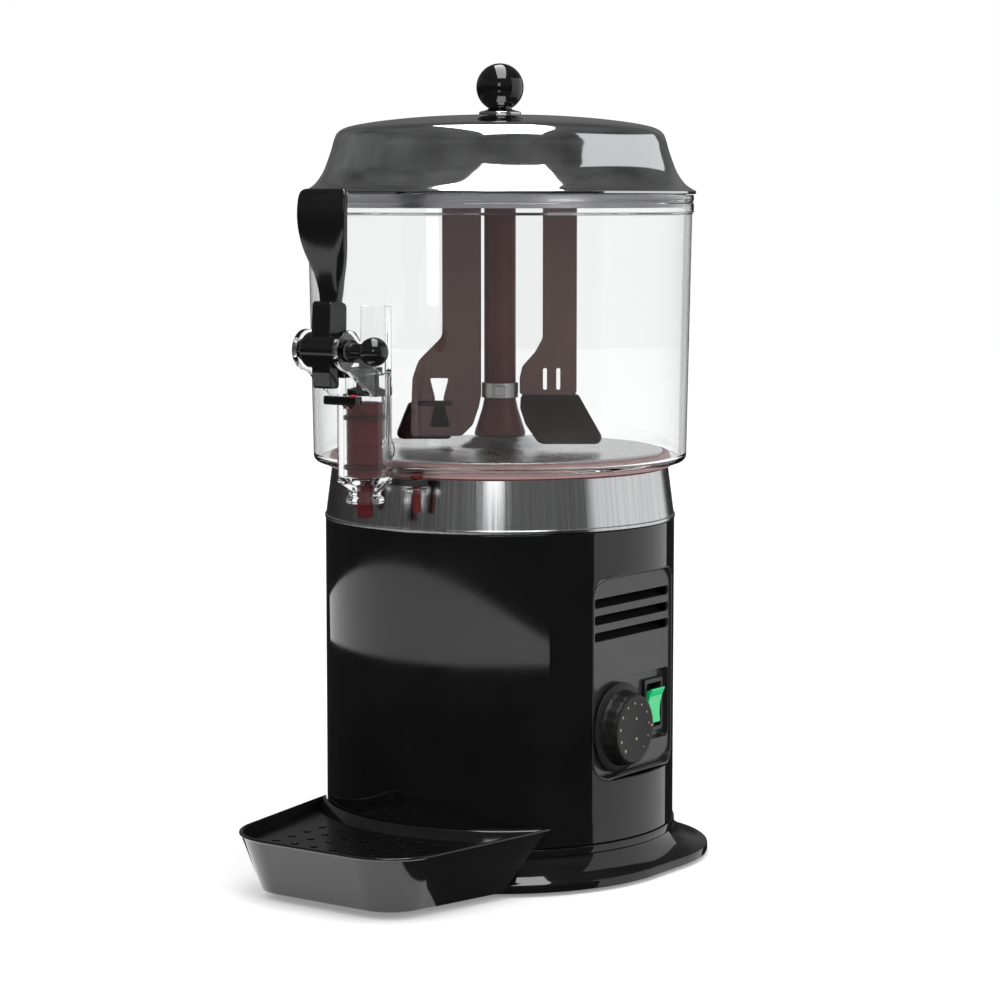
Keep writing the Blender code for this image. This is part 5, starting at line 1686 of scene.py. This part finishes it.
    def build_lock(self, bench: Bench, here: Matrix) -> None:
        """Clip behind the barrel with a pin and a clear collar on each side.

        Args:
            bench: Where the pieces are made.
            here: The move to the axis that the pieces are drawn about.
        """
        back = self.radius + 0.3
        middle = back + 4.5
        clip = plate(fillet([(-27, back, 2), (27, back, 2), (27, back + 9, 2), (-27, back + 9, 2)]),
                     236 * MM, 240 * MM, 0.5 * MM, Plane.XY,
                     [circle((x * MM, middle * MM), 2.7 * MM) for x in (-21.5, 21.5)])
        bench.add("lock_clip", posed(clip, here), SATIN_BLACK, Rides.BOWL, ["tap_clip"])
        for side, x in (("right", 21.5), ("left", -21.5)):
            place = (shift(x, middle, 0), here)
            pin = [(0, 221), (2.4, 221, 0.9), (2.4, 240.3), (3.6, 240.3, 0.3), (3.6, 242.2, 0.6), (0, 242.6)]
            bench.add(f"pin_{side}", posed(turned_piece(pin, 40), *place), PIN_RED, Rides.BOWL,
                      [f"lock_pin_{side}"])
            collar = [(2.7, 232.6, 0.2), (6.5, 232.6, 0.5), (6.5, 234.6, 0.5), (2.7, 234.6, 0.2)]
            bench.add(f"collar_{side}", posed(turned_piece(collar, 48), *place), TAP_CLEAR, Rides.BOWL,
                      [f"lock_collar_{side}"])


# --- Drip tray ---------------------------------------------------------------


@dataclass
class Tray:
    """Tapered drip tray round the front of the body, with its lift-out grid."""

    body_r: float = 105.0
    top: float = 38.0
    bottom: float = 4.5
    front: float = 186.0
    half_x: float = 82.0
    front_half: float = 68.0
    corner: float = 36.0
    draft: float = 12.0
    wall: float = 2.0
    grid_z: float = 30.5
    grid_t: float = 2.0
    slack: float = 0.5

    def ring(self, inset: float, height: float) -> list[Point3]:
        """The tray's plan drawn in by an inset: sides, round front corners, back round the body.

        Args:
            inset: How far in, in millimetres.
            height: Height, in millimetres.

        Returns:
            The ring's points in metres.
        """
        half = self.half_x - inset
        back_r = self.body_r + 1.2 + inset
        tip = degrees(atan2(-sqrt(back_r ** 2 - half ** 2), half))
        corner = self.corner - inset
        centre = self.front_half - self.corner
        lean = degrees(atan2(self.half_x - self.front_half, self.front - self.corner - self.body_r / 2))
        start = (half, back_r * sin(radians(tip)))
        turn = arc((centre, -self.front + inset + corner), corner, -lean, -90, 18)
        side = [tuple(a + (b - a) * step / 12 for a, b in zip(start, turn[0])) for step in range(12)]
        right = side + turn
        left = [(-x, y) for x, y in reversed(right)]
        back = arc((0, 0), back_r, -180 - tip, tip, 40)[1:-1]
        return [(x * MM, y * MM, height * MM) for x, y in right + left + back]

    def inset_at(self, height: float) -> float:
        """How far the outer wall leans in at a height."""
        return self.draft * (self.top - height) / (self.top - self.bottom)

    def pan(self) -> bmesh.types.BMesh:
        """The tray with a rolled rim and round inner floor corner.

        Returns:
            The piece's surface.
        """
        floor = self.bottom + self.wall
        rings = [self.ring(self.draft + 1.2, self.bottom), self.ring(self.draft + 0.3, self.bottom + 0.2)]
        rings += [self.ring(self.inset_at(5.4), 5.4), self.ring(self.inset_at(20), 20),
                  self.ring(self.inset_at(36), 36)]
        rings += [self.ring(0.1, 36.5), self.ring(-0.35, 36.8), self.ring(-0.5, 37.2), self.ring(-0.35, 37.8)]
        rings += [self.ring(0.1, 38.15), self.ring(0.9, 38.25), self.ring(1.6, 38.0), self.ring(2.0, 37.4)]
        span = self.top - floor
        for height in (35.0, 32.5, 30.5, 20.0, 9.0):
            share = (height - floor) / span
            rings.append(self.ring(self.wall + self.inset_at(floor) * (1 - share), height))
        rings.append(self.ring(self.wall + self.inset_at(floor) + 0.4, floor + 0.6))
        rings.append(self.ring(self.wall + self.inset_at(floor) + 1.6, floor))
        return skin(rings)

    def grid(self) -> bmesh.types.BMesh:
        """The grid: a sheet that fits the tray, with rows of round drain holes.

        Returns:
            The piece's surface.
        """
        floor = self.bottom + self.wall
        share = (self.grid_z - floor) / (self.top - floor)
        inset = self.wall + self.slack + 0.15 + self.inset_at(floor) * (1 - share)
        edge = [(x, y) for x, y, _ in self.ring(inset, 0)]
        holes = []
        for row in range(4):
            for place in range(-3, 4):
                x, y = place * 14.0, -self.front + 24 + row * 14
                if hypot(x, y) >= self.body_r + 14:
                    holes.append(circle((x * MM, y * MM), 2.2 * MM))
        return plate(edge, self.grid_z * MM, (self.grid_z + self.grid_t) * MM, 0.35 * MM, Plane.XY, holes)

    def build(self, bench: Bench, datum: Datum) -> None:
        """Make the tray and its grid."""
        bench.add("tray_pan", posed(self.pan(), datum.here()), TRAY_BLACK, Rides.TRAY, ["drip_tray"])
        # The grid takes the darker black, a painted shade.
        bench.add("tray_sieve", posed(self.grid(), datum.here()), SIEVE_SHADED_BLACK, Rides.GRID, ["tray_grid"])


# --- Studio ------------------------------------------------------------------


@dataclass
class Studio:
    """Pale floor, white surround, soft lights and the camera."""

    azimuth: float = 35.5
    distance: float = 1.71
    eye: float = 0.397
    pitch: float = 6.0
    lens: float = 102.6
    open_side: Point2 = (98.0, 178.0)
    open_top: Point2 = (41.0, 18.0)
    open_foot: float = -28.0
    levels: tuple[Point2, ...] = ((0.42, 0.02), (0.50, 0.03), (0.57, 0.14), (0.66, 0.16), (0.78, 0.10),
                                  (0.90, 0.14))

    def camera(self, datum: Datum) -> None:
        """Place the camera to the right of the front, a little above the middle.

        Args:
            datum: The column axis.
        """
        turn = radians(self.azimuth)
        data = bpy.data.cameras.new("camera")
        data.lens = self.lens
        data.sensor_width = 36.0
        made = placed("camera", data)
        made.location = (datum.x + self.distance * sin(turn), datum.y - self.distance * cos(turn), self.eye)
        made.rotation_euler = (radians(90 - self.pitch), 0, turn)
        bpy.context.scene.camera = made

    def floor(self) -> None:
        """A wide pale floor that mirror-like pieces don't show."""
        bm = bmesh.new()
        bmesh.ops.create_circle(bm, cap_ends=True, segments=96, radius=6.0)
        made = placed("floor", to_mesh(bm, "floor"))
        finish = Finish("floor_paint", "floor", (0.86, 0.86, 0.86), 0.9, tone=1.01, grain_depth=0.0,
                        glow=0.24, specular=0.0)
        made.data.materials.append(finish.material())
        made.visible_glossy = False

    def world(self) -> None:
        """White surround; mirror-like surfaces see a dark room that lightens upwards."""
        world = bpy.data.worlds.new("studio")
        world.use_nodes = True
        bpy.context.scene.world = world
        tree = world.node_tree
        wires = Wiring(tree)
        white = tree.nodes["Background"]
        white.inputs["Color"].default_value = (1, 1, 1, 1)
        white.inputs["Strength"].default_value = 1.0
        room = wires.node("Background")
        height = wires.node("SeparateXYZ")
        wires.feed(height.inputs[0], wires.node("TexCoord").outputs["Generated"])
        ramp = wires.node("ValToRGB")
        stops = ramp.color_ramp.elements
        stops[0].position, stops[0].color = 0.0, (0.010, 0.010, 0.010, 1)
        stops[1].position, stops[1].color = 1.0, (0.16, 0.16, 0.165, 1)
        for position, level in self.levels:
            stop = stops.new(position)
            stop.color = (level, level, level, 1)
        wires.feed(ramp.inputs[0], wires.maths("MULTIPLY_ADD", height.outputs[2], 0.5, 0.5))
        clouds = wires.spread(wires.noise(wires.node("TexCoord").outputs["Generated"], 2.6, 2.0), 0.75, 1.3)
        grey = wires.maths("MULTIPLY", ramp.outputs[0], clouds)
        turn = wires.maths("ARCTAN2", height.outputs[0], wires.maths("MULTIPLY", height.outputs[1], -1.0))
        start, end = (radians(limit) for limit in self.open_side)
        beside = wires.maths("MULTIPLY", wires.maths("GREATER_THAN", turn, start),
                             wires.maths("LESS_THAN", turn, end))
        fall = (sin(radians(self.open_top[1])) - sin(radians(self.open_top[0]))) / (end - start)
        edge = wires.maths("MULTIPLY_ADD", wires.maths("SUBTRACT", turn, start), fall,
                           sin(radians(self.open_top[0])))
        under = wires.maths("LESS_THAN", height.outputs[2], edge)
        over = wires.maths("GREATER_THAN", height.outputs[2], sin(radians(self.open_foot)))
        opening = wires.maths("MULTIPLY", beside, wires.maths("MULTIPLY", under, over))
        wires.feed(room.inputs["Color"], wires.maths("MAXIMUM", grey, opening))
        path = wires.node("LightPath")
        mirrored = wires.maths("MULTIPLY", path.outputs["Is Glossy Ray"],
                               wires.maths("SUBTRACT", 1.0, path.outputs["Is Transmission Ray"]))
        mix = wires.node("MixShader")
        wires.feed(mix.inputs[0], mirrored)
        wires.feed(mix.inputs[1], white.outputs[0])
        wires.feed(mix.inputs[2], room.outputs[0])
        wires.feed(tree.nodes["World Output"].inputs[0], mix.outputs[0])

    def lamp(self, name: str, spot: Point3, aim: Point3, size: Point2, watts: float) -> None:
        """A soft rectangular light.

        Args:
            name: Its name.
            spot: Its place.
            aim: The point that it faces.
            size: Its width and height.
            watts: Its power.
        """
        data = bpy.data.lights.new(name, "AREA")
        data.shape = "RECTANGLE"
        data.size, data.size_y = size
        data.energy = watts
        made = placed(name, data)
        made.location = spot
        made.rotation_euler = (Vector(aim) - Vector(spot)).to_track_quat("-Z", "Y").to_euler()
        made.visible_camera = False
        made.visible_glossy = False

    def card(self, name: str, outline: Sequence[Point3], datum: Datum, strength: float) -> None:
        """A glowing sheet that only mirror-like surfaces see.

        Args:
            name: Its name.
            outline: Its corners, from the column axis.
            datum: The column axis.
            strength: Its brightness.
        """
        bm = bmesh.new()
        bm.faces.new([bm.verts.new((x + datum.x, y + datum.y, z)) for x, y, z in outline])
        mesh = bpy.data.meshes.new(name)
        bm.to_mesh(mesh)
        bm.free()
        made = placed(name, mesh)
        mesh.materials.append(Finish(f"{name}_glow", "card", (1.0, 1.0, 1.0), 1.0, tone=1.0,
                                     glow=strength).material())
        made.visible_camera = False
        made.visible_diffuse = False
        made.visible_transmission = False
        made.visible_shadow = False

    def cards(self, datum: Datum) -> None:
        """The sheets: a crescent on the floor, one before the tray, one overhead and a window.

        Args:
            datum: The column axis.
        """
        outer = arc((-0.22, -0.32), 1.17, -5, -222, 60)
        inner = arc((0.0, 0.0), 0.90, -200, -24, 50)
        self.card("crescent", [(x, y, 0.002) for x, y in outer + inner], datum, 0.05)
        apron = [(-0.17, -0.26, 0.001), (0.080, -0.26, 0.001), (0.080, -0.14, 0.001), (-0.17, -0.14, 0.001)]
        self.card("apron", apron, datum, 0.9)
        corners = ((1.72, -0.70), (1.72, 0.75), (-1.5, 0.42), (-1.5, -0.16))
        half = sqrt(0.5)
        self.card("overhead", [(half * (a + b), half * (b - a), 2.03) for a, b in corners], datum, 6.0)
        turn = radians(self.azimuth - 4)
        ahead, across = Vector((sin(turn), -cos(turn), 0)), Vector((cos(turn), sin(turn), 0))
        for number, (low, high) in enumerate(((0.62, 0.92), (0.98, 1.28)), start=1):
            spots = [ahead * 2.4 + across * side + Vector((0, 0, z))
                     for side, z in ((-0.25, low), (0.25, low), (0.25, high), (-0.25, high))]
            self.card(f"window_{number}", [tuple(spot) for spot in spots], datum, 3.0)

    def build(self, datum: Datum) -> None:
        """Set up the whole studio.

        Args:
            datum: The column axis.
        """
        self.camera(datum)
        self.floor()
        self.world()
        middle = (datum.x, datum.y, 0.25)
        self.lamp("side_soft", (2.2, -0.6, 0.9), middle, (0.9, 1.2), 14)
        self.lamp("top_soft", (0.5, -0.5, 2.3), middle, (1.4, 1.0), 16)
        self.cards(datum)
        scene = bpy.context.scene
        scene.view_settings.view_transform = "Standard"
        scene.view_settings.look = "None"


def main() -> None:
    """Load the frame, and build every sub-assembly and the studio."""
    logging.basicConfig(level=logging.INFO, format="%(name)s %(message)s")
    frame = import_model()
    datum = Datum.read()
    bench = Bench()
    panel = Panel()
    Base().build(bench, datum, frame)
    Body().build(bench, datum, panel.outline(0), frame)
    panel.build(bench, datum)
    Bowl().build(bench, datum)
    Stirrer().build(bench, datum)
    Tap().build(bench, Datum.read("piston_ring_lower").here())
    Tray().build(bench, datum)
    Studio().build(datum)
    LOG.info("%d pieces made", bench.count)


if __name__ == "__main__":
    main()
